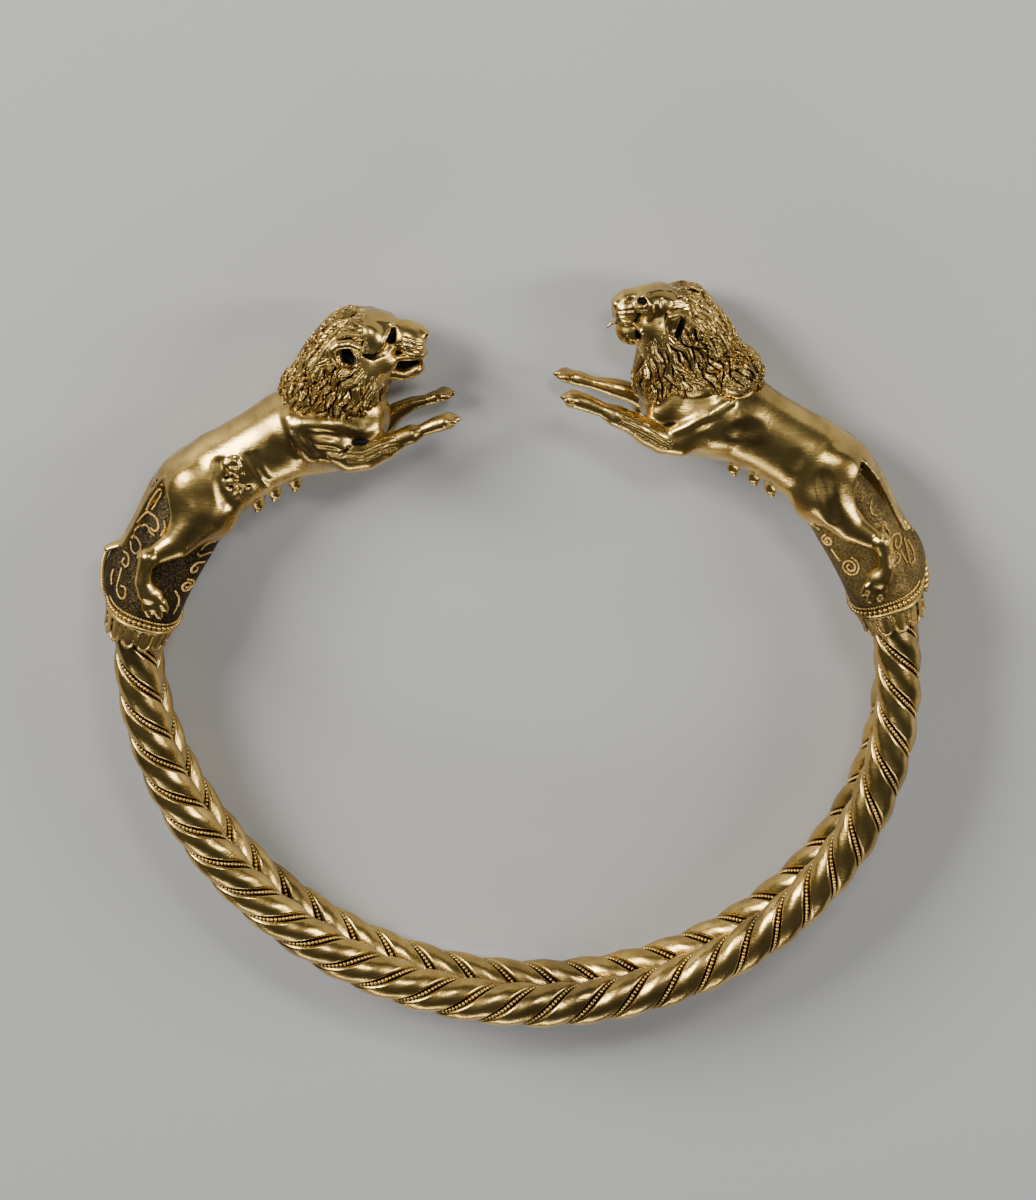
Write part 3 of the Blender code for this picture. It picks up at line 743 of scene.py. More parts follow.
def cast(name, wax, place, triangles, ground=None):
    """The wax's surface as a mesh in its place, with its recess stored on the points.

    The ground, if given, is a rule that adds recess, as painted shade, where the metal is always dark.
    """
    grid = openvdb.FloatGrid(3.0)
    grid.copyFromArray(wax.field)
    points, quads = grid.convertToQuads(0.0)
    mesh = bpy.data.meshes.new(name)
    mesh.from_pydata(points, [], quads[:, ::-1])
    mesh = thinned(mesh, triangles)
    points = points_of(mesh)
    solid = np.clip(0.5 - wax.field / wax.cell, 0.0, 1.0)
    narrow = sample(blurred(solid, round(NARROW_REACH / wax.cell)), points)
    wide = sample(blurred(solid, round(WIDE_REACH / wax.cell)), points)
    # The recess becomes painted shade in the gold: darkest in narrow and wide hollows.
    recess = 0.7 * np.clip((narrow - 0.52) / 0.16, 0, 1) + 0.7 * np.clip((wide - 0.54) / 0.22, 0, 1)
    figure = wax.low + points * wax.cell
    if ground is not None:
        recess = recess + ground(figure)
    mesh.vertices.foreach_set("co", (place(figure) * MM).ravel())
    mark(mesh, "recess", np.clip(recess, 0, 1))
    if wax.strand.any():
        mark(mesh, "strand", sample(wax.strand, points))
    mesh.update()
    return mesh


print("casting keeps the recess of every point")

# %% [markdown]
# ## The cuffs' sleeve
# A cuff is a flattened sleeve that leans and narrows towards the animal. Three numbers place a
# point on it: how far along, which share of the way round, and how high over the sheet. With them
# the leaves, the wires and the opening under the tail are all drawn on the curved sheet directly.

# %% Sleeve coordinates
SLEEVE_TOP = 14.5
COLLAR = 2.6
ROUNDNESS = 2.6


def sleeve_sizes(along):
    """Half width and half depth of the sleeve."""
    width = np.interp(along, (-COLLAR, 0.0, 9.0, SLEEVE_TOP), (3.35, 3.95, 4.3, 4.1))
    depth = np.interp(along, (-COLLAR, 1.42, 9.0, SLEEVE_TOP), (5.5, 5.55, 4.3, 3.2))
    return width, depth


def sleeve_axis(along):
    """The sleeve's middle in the picture plane, and how far it leans there."""
    lean = np.radians(19 + 10 * along / 9)
    middle = (math.radians(19) + lean) / 2
    return 0.25 + along * np.sin(middle), along * np.cos(middle), lean


def sleeve_place(x, y, z):
    """How far along the sleeve, the share of the way round, and the height over the sheet."""
    along = y + 0.0 * x
    for _ in range(14):
        centre_x, centre_y, lean = sleeve_axis(along)
        along = along + 0.8 * ((x - centre_x) * np.sin(lean) + (y - centre_y) * np.cos(lean))
    centre_x, centre_y, lean = sleeve_axis(along)
    across = (x - centre_x) * np.cos(lean) - (y - centre_y) * np.sin(lean)
    width, depth = sleeve_sizes(along)
    u = np.abs(across) / width
    v = np.abs(z) / depth
    ring = np.maximum((u ** ROUNDNESS + v ** ROUNDNESS) ** (1 / ROUNDNESS), 0.05)
    slope = np.hypot((u / ring) ** (ROUNDNESS - 1) / width, (v / ring) ** (ROUNDNESS - 1) / depth)
    height = (ring - 1) / slope
    turn = np.arctan2(np.sign(z) * v ** (ROUNDNESS / 2), np.sign(across) * u ** (ROUNDNESS / 2))
    return along, turn, height


def sleeve_point(along, turn, height):
    """Where a point of the sleeve lies in the figure's own axes."""
    centre_x, centre_y, lean = sleeve_axis(along)
    width, depth = sleeve_sizes(along)
    cos, sin = np.cos(turn), np.sin(turn)
    across = (width + height) * np.sign(cos) * np.abs(cos) ** (2 / ROUNDNESS)
    deep = (depth + height) * np.sign(sin) * np.abs(sin) ** (2 / ROUNDNESS)
    return np.stack([centre_x + across * np.cos(lean), centre_y - across * np.sin(lean), deep], axis=-1)


def round_table(along):
    """Turns round the sleeve, and the share of its girth reached at each of them."""
    turns = np.linspace(-math.pi, math.pi, 1441)
    ring = sleeve_point(np.full(1441, float(along)), turns, 0.0)
    girth = np.concatenate([[0.0], np.cumsum(np.linalg.norm(np.diff(ring, axis=0), axis=1))])
    return turns, girth


print("girth of the cuff at the bead ring:", round(round_table(0.0)[1][-1], 1), "mm")

# %% [markdown]
# Between the tail and the thigh the body is open, and the dark wall of the sleeve shows inside.
# The wax over that wall is cut away within an outline taken from the photograph.

# %% The opening beside the tail
OPENINGS = {"left": [(2.7, 15.3), (3.2, 13.7), (3.5, 11.9), (3.4, 10.2), (2.8, 9.2), (1.2, 8.6),
                     (-0.2, 7.2), (-2.4, 5.4), (-4.2, 6.4), (-1.4, 8.2), (-0.2, 10.6), (1.0, 12.8),
                     (2.1, 14.9)],
            "right": [(3.2, 15.9), (3.8, 14.0), (4.1, 12.0), (4.1, 10.9), (3.0, 10.0), (1.4, 8.9),
                      (0.0, 7.4), (-2.4, 5.4), (-4.2, 6.4), (-1.5, 8.2), (-0.3, 10.2), (1.2, 12.9),
                      (2.2, 14.8)]}


def outline_distance(x, y, outline):
    """Distance in the picture plane to a closed outline, negative inside it."""
    best = np.full(np.broadcast(x, y).shape, 99.0)
    within = np.zeros(best.shape, dtype=bool)
    for (ax, ay), (bx, by) in zip(outline, outline[1:] + outline[:1]):
        ex, ey = bx - ax, by - ay
        share = np.clip(((x - ax) * ex + (y - ay) * ey) / (ex * ex + ey * ey), 0, 1)
        best = np.minimum(best, np.hypot(x - ax - share * ex, y - ay - share * ey))
        within ^= ((ay > y) != (by > y)) & (x < ex * (y - ay) / (ey or 1e-9) + ax)
    return np.where(within, -best, best)


def carve_opening(wax, outline):
    """Cuts the wax away inside the outline, down to just under the sleeve's sheet."""
    low = np.append(np.min(outline, axis=0) - 1.0, -7.0)
    high = np.append(np.max(outline, axis=0) + 1.0, 7.0)
    cuts, x, y, z = wax.near(low, high)
    height = sleeve_place(x, y, z)[2]
    wax.take(cuts, np.maximum(outline_distance(x, y, outline), -(height + 0.5)), 0.25)


print("points in the opening's outlines:", {word: len(outline) for word, outline in OPENINGS.items()})

# %% [markdown]
# ## The body both lionesses share
# The trunk arches from the loins on the cuff to the chest, and the legs are drawn as tapered
# stretches. Numbers are millimetres from the bead ring of the cuff, measured on the photograph.
# The four paws end in three toes each, with claws and a groove between each two toes.

# %% Trunk, legs and tail
TRUNK = ((4.9, 10.2, 4.6, 4.0), (6.3, 12.9, 4.6, 4.1), (9.2, 15.4, 4.3, 3.8), (12.6, 17.6, 4.1, 3.6),
         (16.2, 19.7, 4.5, 3.9), (19.8, 21.0, 5.1, 4.1), (22.6, 22.0, 4.2, 3.5))
NEAR_LEG = {"left": ((26.4, 19.8, 3.4, 1.25), (28.0, 20.8, 3.4, 1.0), (29.0, 21.2, 3.3, 1.05),
                     (30.1, 21.6, 3.2, 0.65), (31.7, 22.3, 3.2, 0.85), (32.9, 22.7, 3.2, 0.9)),
            "right": ((25.6, 19.5, 3.5, 1.35), (27.9, 20.9, 3.4, 1.15), (29.2, 21.5, 3.3, 1.2),
                      (30.6, 22.2, 3.3, 0.8), (32.2, 22.9, 3.2, 0.95), (33.7, 23.4, 3.2, 1.0))}
FAR_LEG = {"left": ((25.8, 19.4, 3.0, 1.2), (27.4, 21.0, 3.0, 1.0), (29.0, 21.9, 3.0, 0.75),
                    (30.6, 22.3, 3.0, 0.6), (31.4, 22.6, 3.0, 0.75), (32.3, 22.9, 3.0, 0.65)),
           "right": ((26.1, 20.6, 3.0, 1.25), (27.7, 21.4, 3.0, 1.1), (29.3, 21.9, 3.0, 1.05),
                     (31.6, 22.5, 3.0, 0.7), (33.2, 23.0, 3.0, 0.85), (34.4, 23.3, 3.0, 0.75))}


def add_toes(wax, heel, tip, radius, side, spread):
    """Three toes, each with a knuckle, from the heel of a paw towards its tip."""
    heel, tip = np.array(heel), np.array(tip)
    along = (tip - heel) / np.linalg.norm(tip - heel)
    across = np.cross(along, (0.0, 0.0, 1.0)) if spread == "flat" else np.array((0.0, 0.0, 1.0))
    for offset in (-1, 0, 1):
        root = heel + across * offset * radius * 0.8
        end = tip + across * offset * radius * 1.25 - along * abs(offset) * radius * 0.7
        middle = (root + end) / 2 + across * offset * 0.05
        stations = [(*root, radius * 0.7), (*middle, radius * 0.9), (*end, radius * 0.62)]
        wax.limb(stations, blend=0.1, sides=(side,))
        claw = end + along * radius * 0.75
        wax.limb([(*end, radius * 0.35), (*claw, radius * 0.22)], blend=0.08, sides=(side,))
    for offset in (-0.5, 0.5):
        root = heel + along * radius * 0.6 + across * offset * radius * 1.6 + (0, 0, radius * 0.95)
        end = tip + across * offset * radius * 2.2 + (0, 0, radius * 0.6)
        wax.limb([(*root, 0.1), (*end, 0.16)], blend=0.12, cut=True, sides=(side,))


def add_body(wax, word):
    """Trunk, opening, tail, hind and front legs, toes, belly flap and teats."""
    for start, end in zip(TRUNK, TRUNK[1:]):
        flat = (start[3] + end[3]) / (start[2] + end[2])
        wax.limb([(*start[:2], 0.0, start[2]), (*end[:2], 0.0, end[2])], blend=1.2, flat=flat)
    wax.ball((6.9, 13.0, 2.6), (4.5, 3.2, 1.9), turn=-58, blend=1.0)
    wax.ball((24.4, 21.4, 1.9), (1.7, 1.7, 1.7), blend=0.6)
    wax.ball((19.4, 20.4, 3.0), (3.6, 2.7, 1.6), turn=15, blend=0.8)
    carve_opening(wax, OPENINGS[word])
    tail = [(3.2, 14.2, 0.0, 1.1), (1.5, 11.8, 0.0, 0.85), (0.2, 9.4, 0.0, 0.75), (-1.3, 7.0, 0.0, 0.7)]
    wax.limb(tail, blend=0.3, flat=1.9)
    if word == "left":
        lip = [(-1.5, 6.9, 0.0, 0.6), (-2.6, 6.7, 0.0, 0.45), (-3.6, 6.3, 0.0, 0.35)]
        wax.limb(lip, blend=0.3, flat=1.6)
    rim = [(2.9, 15.4, 1.9, 0.3), (1.5, 13.4, 1.5, 0.4), (0.4, 11.1, 1.2, 0.42), (-0.6, 9.0, 1.0, 0.4),
           (-1.6, 7.2, 0.8, 0.35)]
    wax.limb(rim, blend=0.45)
    wax.limb([(6.9, 11.9, 3.4, 2.5), (4.2, 8.9, 4.0, 1.75), (1.5, 7.5, 4.7, 1.0)], blend=0.7, flat=0.75)
    wax.limb([(1.1, 7.6, 4.9, 1.05), (0.7, 6.3, 5.0, 0.85), (0.5, 4.8, 5.1, 0.95), (0.9, 3.6, 5.1, 1.1)],
             blend=0.35)
    wax.ball((1.2, 3.3, 5.1), (1.5, 1.3, 0.95), turn=-45, blend=0.3)
    upper_arm = [(20.4, 20.2, 3.0, 2.0), (22.5, 18.7, 3.3, 1.8), (24.3, 18.9, 3.4, 1.65),
                 (26.0, 19.7, 3.3, 1.45)]
    wax.limb(upper_arm, blend=0.6)
    for side, legs in ((1, NEAR_LEG), (-1, FAR_LEG)):
        stations = legs[word]
        wax.limb(stations, blend=0.3, sides=(side,))
        x, y, z, _ = stations[-1]
        add_toes(wax, (x - 0.4, y + 0.1, z), (x + 0.9, y + 0.2, z), 0.6, side, "deep")
    for side in (1, -1):
        add_toes(wax, (1.3, 3.0, 5.3), (2.1, 1.0, 5.3), 0.74, side, "flat")
    flap = [(17.0, 15.6, 0.0, 0.8), (14.6, 14.4, 0.0, 0.8), (12.6, 12.9, 0.0, 0.8),
            (11.4, 11.9, 0.0, 0.7)]
    wax.limb(flap, blend=0.3)
    for x, y in ((12.6, 11.3), (14.4, 12.6), (16.6, 13.7)):
        teat = [(x - 0.6, y + 1.9, 0.8, 1.1), (x + 0.1, y + 0.7, 0.9, 0.72), (x, y, 1.0, 0.34)]
        wax.limb(teat, blend=0.3)


# %% [markdown]
# ## Chasing the skin
# Folds and muscles were pressed into the sheet from outside. A shallow ball cut out with a wide
# blend leaves such a soft dent, and a thread laid along the surface leaves a fold. Fur on the upper
# arm is only marked here: the finish later engraves its hairs along the marked strip.

# %% Dents, folds and combed fur
def comb(wax, spots, sides, size):
    """Keeps, for the cells near a lock, how far across the lock they lie."""
    spots = np.array(spots)
    cuts, x, y, z = wax.near(spots.min(axis=0) - size, spots.max(axis=0) + size)
    best = strand = None
    for start, end, aside in zip(spots, spots[1:], sides):
        step = end - start
        dx, dy, dz = x - start[0], y - start[1], z - start[2]
        share = np.clip((dx * step[0] + dy * step[1] + dz * step[2]) / (step @ step), 0, 1)
        gap = np.sqrt((dx - share * step[0]) ** 2 + (dy - share * step[1]) ** 2
                      + (dz - share * step[2]) ** 2)
        across = dx * aside[0] + dy * aside[1] + dz * aside[2] - share * (step @ aside)
        strand = across if best is None else np.where(gap < best, across, strand)
        best = gap if best is None else np.minimum(best, gap)
    wax.strand[cuts] = np.where(best < size, strand, wax.strand[cuts])


def chase_left_body(wax):
    """Soft folds over the shoulder, and the rough knob and dents in the flank."""
    wax.ball((19.5, 22.0, 5.1), (2.4, 0.55, 0.8), turn=-12, blend=0.5, cut=True, sides=(1,))
    wax.ball((20.3, 19.9, 5.2), (1.6, 0.5, 0.7), turn=-8, blend=0.5, cut=True, sides=(1,))
    wax.ball((16.6, 20.3, 4.9), (0.5, 1.7, 0.8), turn=20, blend=0.5, cut=True, sides=(1,))
    wax.ball((14.6, 20.0, 4.7), (0.6, 1.9, 0.7), turn=12, blend=0.7, cut=True, sides=(1,))
    wax.trace([(16.3, 22.9), (16.9, 21.6), (17.7, 20.2), (18.6, 19.0)], 0.5, -0.35, 0.9, cut=False)
    wax.trace([(17.6, 22.7), (19.6, 22.7), (21.8, 22.5), (23.8, 21.6)], 0.5, -0.3, 0.9, cut=False)
    comb(wax, np.array([(22.8, 19.5, 4.7), (24.0, 19.5, 4.6), (25.6, 20.2, 4.3), (26.9, 20.6, 4.2)]),
         [np.array((0.1, -0.99, 0.0)), np.array((0.4, -0.9, 0.0)), np.array((0.3, -0.95, 0.0))], 0.8)
    wax.ball((22.9, 20.4, 4.9), (1.6, 0.35, 0.6), turn=35, blend=0.25, cut=True, sides=(1,))
    for start in ((16.5, 22.2), (17.3, 22.0), (18.1, 21.6)):
        fold = [start, (start[0] + 1.0, start[1] - 1.5), (start[0] + 2.2, start[1] - 2.7)]
        wax.trace(fold, 0.16, 0.1, 0.25, sides=(1,))
    wax.trace([(8.8, 18.0), (8.8, 16.6), (9.2, 15.0), (9.9, 13.6)], 0.6, 0.42, 0.7)
    wax.ball((9.5, 16.4, 4.2), (0.6, 1.3, 0.7), turn=8, blend=0.3, cut=True, sides=(1,))
    wax.ball((10.2, 17.9, 3.7), (1.1, 1.0, 0.45), blend=0.15, sides=(1,))
    wax.trace([(9.3, 18.1), (9.9, 18.8), (10.8, 18.7), (11.2, 17.9)], 0.13, 0.05, 0.1, sides=(1,))
    wax.ball((10.3, 14.9, 4.0), (0.45, 0.9, 0.5), turn=-30, blend=0.3, cut=True, sides=(1,))
    rng = np.random.default_rng(5)
    for _ in range(26):
        x, y = 10.6 + rng.normal(0, 0.65), 16.3 + rng.normal(0, 0.9)
        size = rng.uniform(0.18, 0.4)
        deep = wax.surface(x, y) + rng.uniform(-0.1, 0.15)
        wax.ball((x, y, deep), (size, size * 0.8, size), blend=0.12, cut=rng.random() < 0.6, sides=(1,))
    wax.trace([(11.9, 18.9), (12.5, 17.6), (13.2, 16.2), (13.6, 15.2)], 0.3, 0.2, 0.35, sides=(1,))
    wax.trace([(12.7, 19.1), (13.3, 17.7), (14.0, 16.4)], 0.25, 0.18, 0.35, sides=(1,))


def chase_right_body(wax):
    """A long hollow under the shoulder's rim, and the flat facet in the flank."""
    rim = [(17.0, 25.2), (18.4, 25.3), (20.5, 25.1), (22.5, 24.8), (24.2, 24.1), (25.0, 23.0)]
    wax.ball((21.0, 23.5, 5.4), (3.6, 0.9, 1.3), turn=-8, blend=0.5, cut=True, sides=(1,))
    wax.trace(rim, 0.5, -0.22, 0.6, cut=False)
    wax.ball((19.8, 21.4, 5.3), (2.2, 0.45, 0.9), turn=-22, blend=0.4, cut=True, sides=(1,))
    wax.trace([(17.3, 23.2), (19.4, 22.1), (21.4, 21.0), (23.0, 20.2)], 0.4, -0.1, 0.6, cut=False)
    comb(wax, np.array([(23.9, 19.0, 4.6), (26.2, 20.3, 4.3), (28.2, 21.2, 4.2)]),
         [np.array((0.5, -0.85, 0.0)), np.array((0.4, -0.9, 0.0))], 0.8)
    wax.ball((15.2, 20.4, 5.0), (2.0, 1.2, 1.2), turn=-10, blend=0.8, cut=True, sides=(1,))
    wax.ball((10.4, 17.0, 5.3), (1.9, 3.2, 1.6), turn=25, blend=0.2, cut=True, sides=(1,))
    wax.trace([(7.4, 14.8), (6.8, 12.6), (6.4, 10.6)], 0.5, 0.35, 0.9)


# %% [markdown]
# ## Fur
# The mane is more than a hundred flame-shaped locks. Roots are spread evenly over a ball with the
# golden angle, and those inside the mane's outline are kept. Each lock follows the way the fur
# lies: back from the brow, down the neck and straight down the chest. A lock is a bent, tapered
# lump with two chased lines, set in a shallow bed of its own so that it stands apart.

# %% Locks over the neck
LOCK_SEEDS = 280
LOCK_LENGTH = 3.4
LOCK_HEIGHTS = (-0.30, -0.08, 0.02, 0.04, 0.0)
LOCK_SIZES = (0.36, 0.50, 0.48, 0.36, 0.12)
LOCK_BED = 0.15


def inside(outline, x, y):
    """Which points lie inside a closed outline of the picture plane."""
    found = np.zeros(len(x), dtype=bool)
    for (ax, ay), (bx, by) in zip(outline, outline[1:] + outline[:1]):
        crosses = (ay > y) != (by > y)
        found ^= crosses & (x < (bx - ax) * (y - ay) / ((by - ay) or 1e-9) + ax)
    return found


def fur_direction(x, y, face):
    """Angle of the fur in the picture plane, by the bearing from the middle of the face."""
    bearing = np.degrees(np.arctan2(y - face[1], x - face[0])) % 360
    return np.radians(np.interp(bearing, (60, 120, 150, 190, 230, 262, 280, 330),
                                (178, 196, 212, 228, 236, 256, 268, 276)))


def add_mane(wax, middle, radii, turn, outline, face, seed):
    """Covers the neck with locks and returns how many there are."""
    rng = np.random.default_rng(seed)
    index = np.arange(LOCK_SEEDS) + 0.5
    rise = 1 - 2 * index / LOCK_SEEDS
    around = math.pi * (1 + 5 ** 0.5) * index
    flat = np.sqrt(1 - rise ** 2)
    unit = np.stack([rise, flat * np.cos(around), flat * np.sin(around)], axis=1)
    tilt = math.radians(turn)
    cos, sin = math.cos(tilt), math.sin(tilt)
    spin = np.array(((cos, -sin, 0), (sin, cos, 0), (0, 0, 1)))
    roots = np.array((*middle, 0.0)) + (unit * radii) @ spin.T
    roots = roots[inside(outline, roots[:, 0], roots[:, 1])]
    ground = wax.copy()
    roots, upwards = settle(ground, roots, 0.0)
    lie = fur_direction(roots[:, 0], roots[:, 1], face) + rng.normal(0, 0.10, len(roots))
    way = np.stack([np.cos(lie), np.sin(lie), np.zeros(len(roots))], axis=1)
    length = LOCK_LENGTH * rng.uniform(0.85, 1.15, len(roots))
    bend = rng.choice((-1.0, 1.0), len(roots)) * rng.uniform(0.25, 0.45, len(roots))
    paths = []
    for share, height in zip(np.linspace(-0.35, 0.75, 5), LOCK_HEIGHTS):
        flow = way - upwards * (way * upwards).sum(axis=1)[:, None]
        flow /= np.maximum(np.linalg.norm(flow, axis=1), 0.2)[:, None]
        side = np.cross(upwards, flow)
        sway = bend * math.sin(2 * math.pi * share)
        moved = roots + flow * (length * share)[:, None] + side * sway[:, None]
        spots, over = settle(ground, moved, height)
        paths.append((spots, over, side))
    downstream = np.argsort((roots[:, :2] - face)[:, 1] * 0.8 + (roots[:, :2] - face)[:, 0] * 0.35)
    for lock in downstream:
        stations = [(spots[lock], over[lock], side[lock], size)
                    for (spots, over, side), size in zip(paths, LOCK_SIZES)]
        bed = [(*(spot + up * 0.12), size + LOCK_BED) for spot, up, _, size in stations[1:]]
        wax.limb(bed, blend=0.05, cut=True, sides=(1,))
        wax.limb([(*spot, size) for spot, _, _, size in stations], blend=0.05, sides=(1,))
        comb(wax, [spot for spot, _, _, _ in stations], [aside for _, _, aside, _ in stations], 0.72)
        for offset in (-0.2, 0.2):
            line = []
            for spot, up, aside, size in stations[1:]:
                spread = offset * min(1.0, size / 0.55)
                lift = math.sqrt(max(size ** 2 - spread ** 2, 0.0))
                line.append((*(spot + up * lift + aside * spread), 0.10))
            wax.limb(line, blend=0.05, cut=True, sides=(1,))
    return len(roots)


def hair_band(wax, path, count=3, gap=0.42, size=0.3, rise=0.05, sides=(1, -1)):
    """Threads of combed hair side by side; each follows the surface under its (x, y) points."""
    path = np.array(path)
    run = np.gradient(path, axis=0)
    run /= np.linalg.norm(run, axis=1)[:, None]
    across = np.stack([-run[:, 1], run[:, 0]], axis=1)
    for side in sides:
        threads = []
        for index in range(count):
            shifted = path + across * (index - (count - 1) / 2) * gap
            threads.append([(x, y, wax.surface(x, y, side) + rise, size) for x, y in shifted])
        for thread in threads:
            if all(station[2] > 0.3 for station in thread):
                wax.limb(thread, blend=0.06, sides=(side,))


# %% [markdown]
# The muzzle carries small pits for the whiskers. A fixed seed scatters them, so that they don't
# line up and are the same on every run.

# %% Pitted skin
def pit(wax, middle, spread, count, seed):
    """Scatters small dents over a patch of the near and the far side."""
    rng = np.random.default_rng(seed)
    for _ in range(count):
        x = middle[0] + rng.normal(0, 0.5) * spread[0]
        y = middle[1] + rng.normal(0, 0.5) * spread[1]
        for side in (1, -1):
            deep = wax.surface(x, y, side)
            if deep > 0.3:
                wax.ball((x, y, deep + 0.08), (0.2, 0.14, 0.2), blend=0.08, cut=True, sides=(side,))


# %% [markdown]
# ## The left head
# Her mouth is open. The mane grows from a roll of hair over the forehead, the ear is a round cup,
# and the eye lies deep between a swollen brow and a blunt, pitted muzzle.

# %% Left head
LEFT_MANE = [(22.8, 34.6), (22.8, 32.5), (22.9, 30.4), (23.4, 28.0), (24.6, 26.6), (26.6, 25.6),
             (26.9, 24.0), (25.9, 21.6), (24.6, 21.6), (22.9, 23.0), (21.2, 24.0), (19.1, 24.0),
             (17.0, 24.2), (15.2, 24.6), (12.5, 23.6), (12.0, 28.0), (17.0, 34.0), (20.5, 36.0)]


def add_left_head(wax):
    """Neck, roll of hair, mane, brow, muzzle, open jaw and cupped ear."""
    wax.ball((21.8, 26.7, 0.0), (7.8, 4.7, 4.6), turn=61, blend=0.8)
    wax.ball((17.9, 25.2, 0.0), (2.7, 2.2, 3.9), turn=30, blend=0.8)
    wax.ball((24.3, 30.4, 0.0), (3.7, 3.2, 3.2), blend=0.6)
    wax.limb([(22.2, 30.9, 3.0, 1.0), (22.1, 32.0, 1.9, 1.0), (22.2, 32.7, 0.0, 1.0),
              (22.1, 31.8, -1.9, 1.0), (22.2, 30.9, -3.0, 1.0)], blend=0.4, sides=(1,))
    count = add_mane(wax, (21.6, 26.6), (8.1, 4.9, 4.6), 61, LEFT_MANE, (25.0, 30.0), 11)
    hair_band(wax, [(23.6, 32.8), (22.6, 33.2), (21.6, 32.9), (20.6, 31.9), (19.6, 30.5), (18.4, 28.9)])
    hair_band(wax, [(23.7, 32.0), (22.6, 32.3), (21.4, 31.9), (20.5, 30.9), (19.8, 29.6), (18.8, 28.0)])
    wax.ball((25.3, 32.1, 0.0), (2.5, 1.65, 2.4), turn=-3, blend=0.4)
    wax.limb([(23.9, 33.1, 1.5, 0.22), (25.5, 33.3, 1.5, 0.22), (26.8, 33.0, 1.2, 0.22),
              (27.4, 32.6, 0.6, 0.22)], blend=0.2)
    wax.ball((24.9, 31.7, 2.0), (1.9, 1.45, 1.3), turn=-62, blend=0.3)
    wax.ball((25.8, 28.9, 1.8), (1.5, 1.8, 1.1), turn=80, blend=0.4)
    wax.limb([(26.8, 31.6, 0.0, 1.3), (28.6, 31.7, 0.0, 1.0), (29.8, 31.5, 0.0, 0.8)], blend=0.3)
    wax.ball((28.4, 31.0, 0.0), (2.3, 1.7, 1.9), turn=-12, blend=0.4)
    wax.ball((29.0, 30.5, 1.05), (1.5, 1.25, 1.0), turn=-20, blend=0.3)
    wax.ball((30.2, 31.3, 0.0), (0.75, 0.65, 0.95), blend=0.2)
    wax.limb([(27.6, 32.7, 1.9, 0.45), (27.4, 32.0, 2.2, 0.72), (27.0, 31.1, 2.5, 0.62),
              (26.3, 30.4, 3.0, 0.4)], blend=0.2, cut=True)
    wax.limb([(27.3, 32.3, 1.5, 0.4), (26.9, 31.3, 1.8, 0.35)], blend=0.1, cut=True)
    wax.limb([(23.8, 30.4, 3.4, 0.35), (25.0, 30.1, 3.3, 0.35), (26.2, 30.4, 2.9, 0.35)],
             blend=0.2, cut=True)
    wax.limb([(26.7, 32.6, 2.2, 0.2), (26.4, 32.1, 2.6, 0.25), (26.1, 31.5, 2.9, 0.25),
              (25.8, 30.9, 3.0, 0.2)], blend=0.15)
    wax.ball((28.5, 28.0, 0.0), (2.1, 0.95, 2.6), turn=5, blend=0.2, cut=True)
    wax.ball((27.6, 28.2, 0.0), (2.0, 1.3, 0.45), blend=0.2)
    wax.limb([(25.6, 27.6, 0.0, 1.7), (27.3, 27.1, 0.0, 1.1), (28.8, 27.1, 0.0, 0.95)], blend=0.4)
    wax.limb([(26.6, 27.4, 1.0, 0.75), (28.2, 27.0, 1.0, 0.6), (29.4, 27.3, 0.5, 0.6)], blend=0.3)
    wax.ball((29.6, 27.5, 0.0), (0.85, 0.75, 1.0), blend=0.3)
    wax.limb([(26.6, 28.6, 2.0, 0.28), (27.1, 29.15, 2.0, 0.33), (27.9, 29.35, 1.8, 0.35),
              (29.1, 29.25, 1.5, 0.38), (30.1, 29.25, 0.8, 0.42), (30.3, 29.2, 0.0, 0.42)], blend=0.2)
    wax.limb([(30.0, 29.0, 0.75, 0.28), (30.15, 27.9, 0.75, 0.12)], blend=0.12)
    wax.ball((30.5, 31.3, 0.55), (0.3, 0.2, 0.25), blend=0.1, cut=True)
    for start, end in (((28.3, 31.6), (30.1, 31.0)), ((28.2, 31.0), (30.2, 30.5)),
                       ((28.2, 30.4), (30.1, 29.9))):
        wax.trace([start, ((start[0] + end[0]) / 2, (start[1] + end[1]) / 2 + 0.05), end], 0.09)
    pit(wax, (28.9, 30.9), (1.1, 0.8), 16, 7)
    ear = [(22.2, 29.0, 3.8, 0.26), (21.4, 29.7, 4.1, 0.3), (20.9, 30.6, 4.2, 0.36),
           (20.8, 31.3, 4.2, 0.42), (21.5, 31.8, 4.2, 0.5), (22.6, 31.9, 4.1, 0.5),
           (23.5, 31.4, 3.9, 0.42), (23.6, 30.6, 3.7, 0.32), (23.2, 29.8, 3.6, 0.26),
           (22.6, 29.1, 3.6, 0.24)]
    wax.ball((22.2, 30.5, 3.3), (1.5, 1.7, 0.9), turn=80, blend=0.2)
    wax.limb(ear, blend=0.15)
    wax.ball((22.5, 30.3, 4.5), (1.25, 0.75, 1.3), turn=-62, blend=0.15, cut=True)
    print("left mane:", count, "locks")


# %% [markdown]
# ## The right head
# She holds her head higher and her mouth nearly shut; a hole is left at its corner, and a broken
# wire sticks out of the lip. Her ear is folded, and the hair over it is combed in long bands.

# %% Right head
RIGHT_MANE = [(22.9, 36.4), (22.9, 34.6), (23.0, 33.1), (23.3, 31.3), (24.2, 29.4), (25.8, 27.7),
              (27.6, 26.4), (27.4, 24.0), (26.8, 23.0), (25.6, 23.6), (24.4, 24.6), (22.5, 26.0),
              (20.5, 26.5), (18.2, 26.2), (15.7, 25.2), (12.5, 23.6), (12.0, 28.0), (16.0, 35.0),
              (20.0, 37.5)]


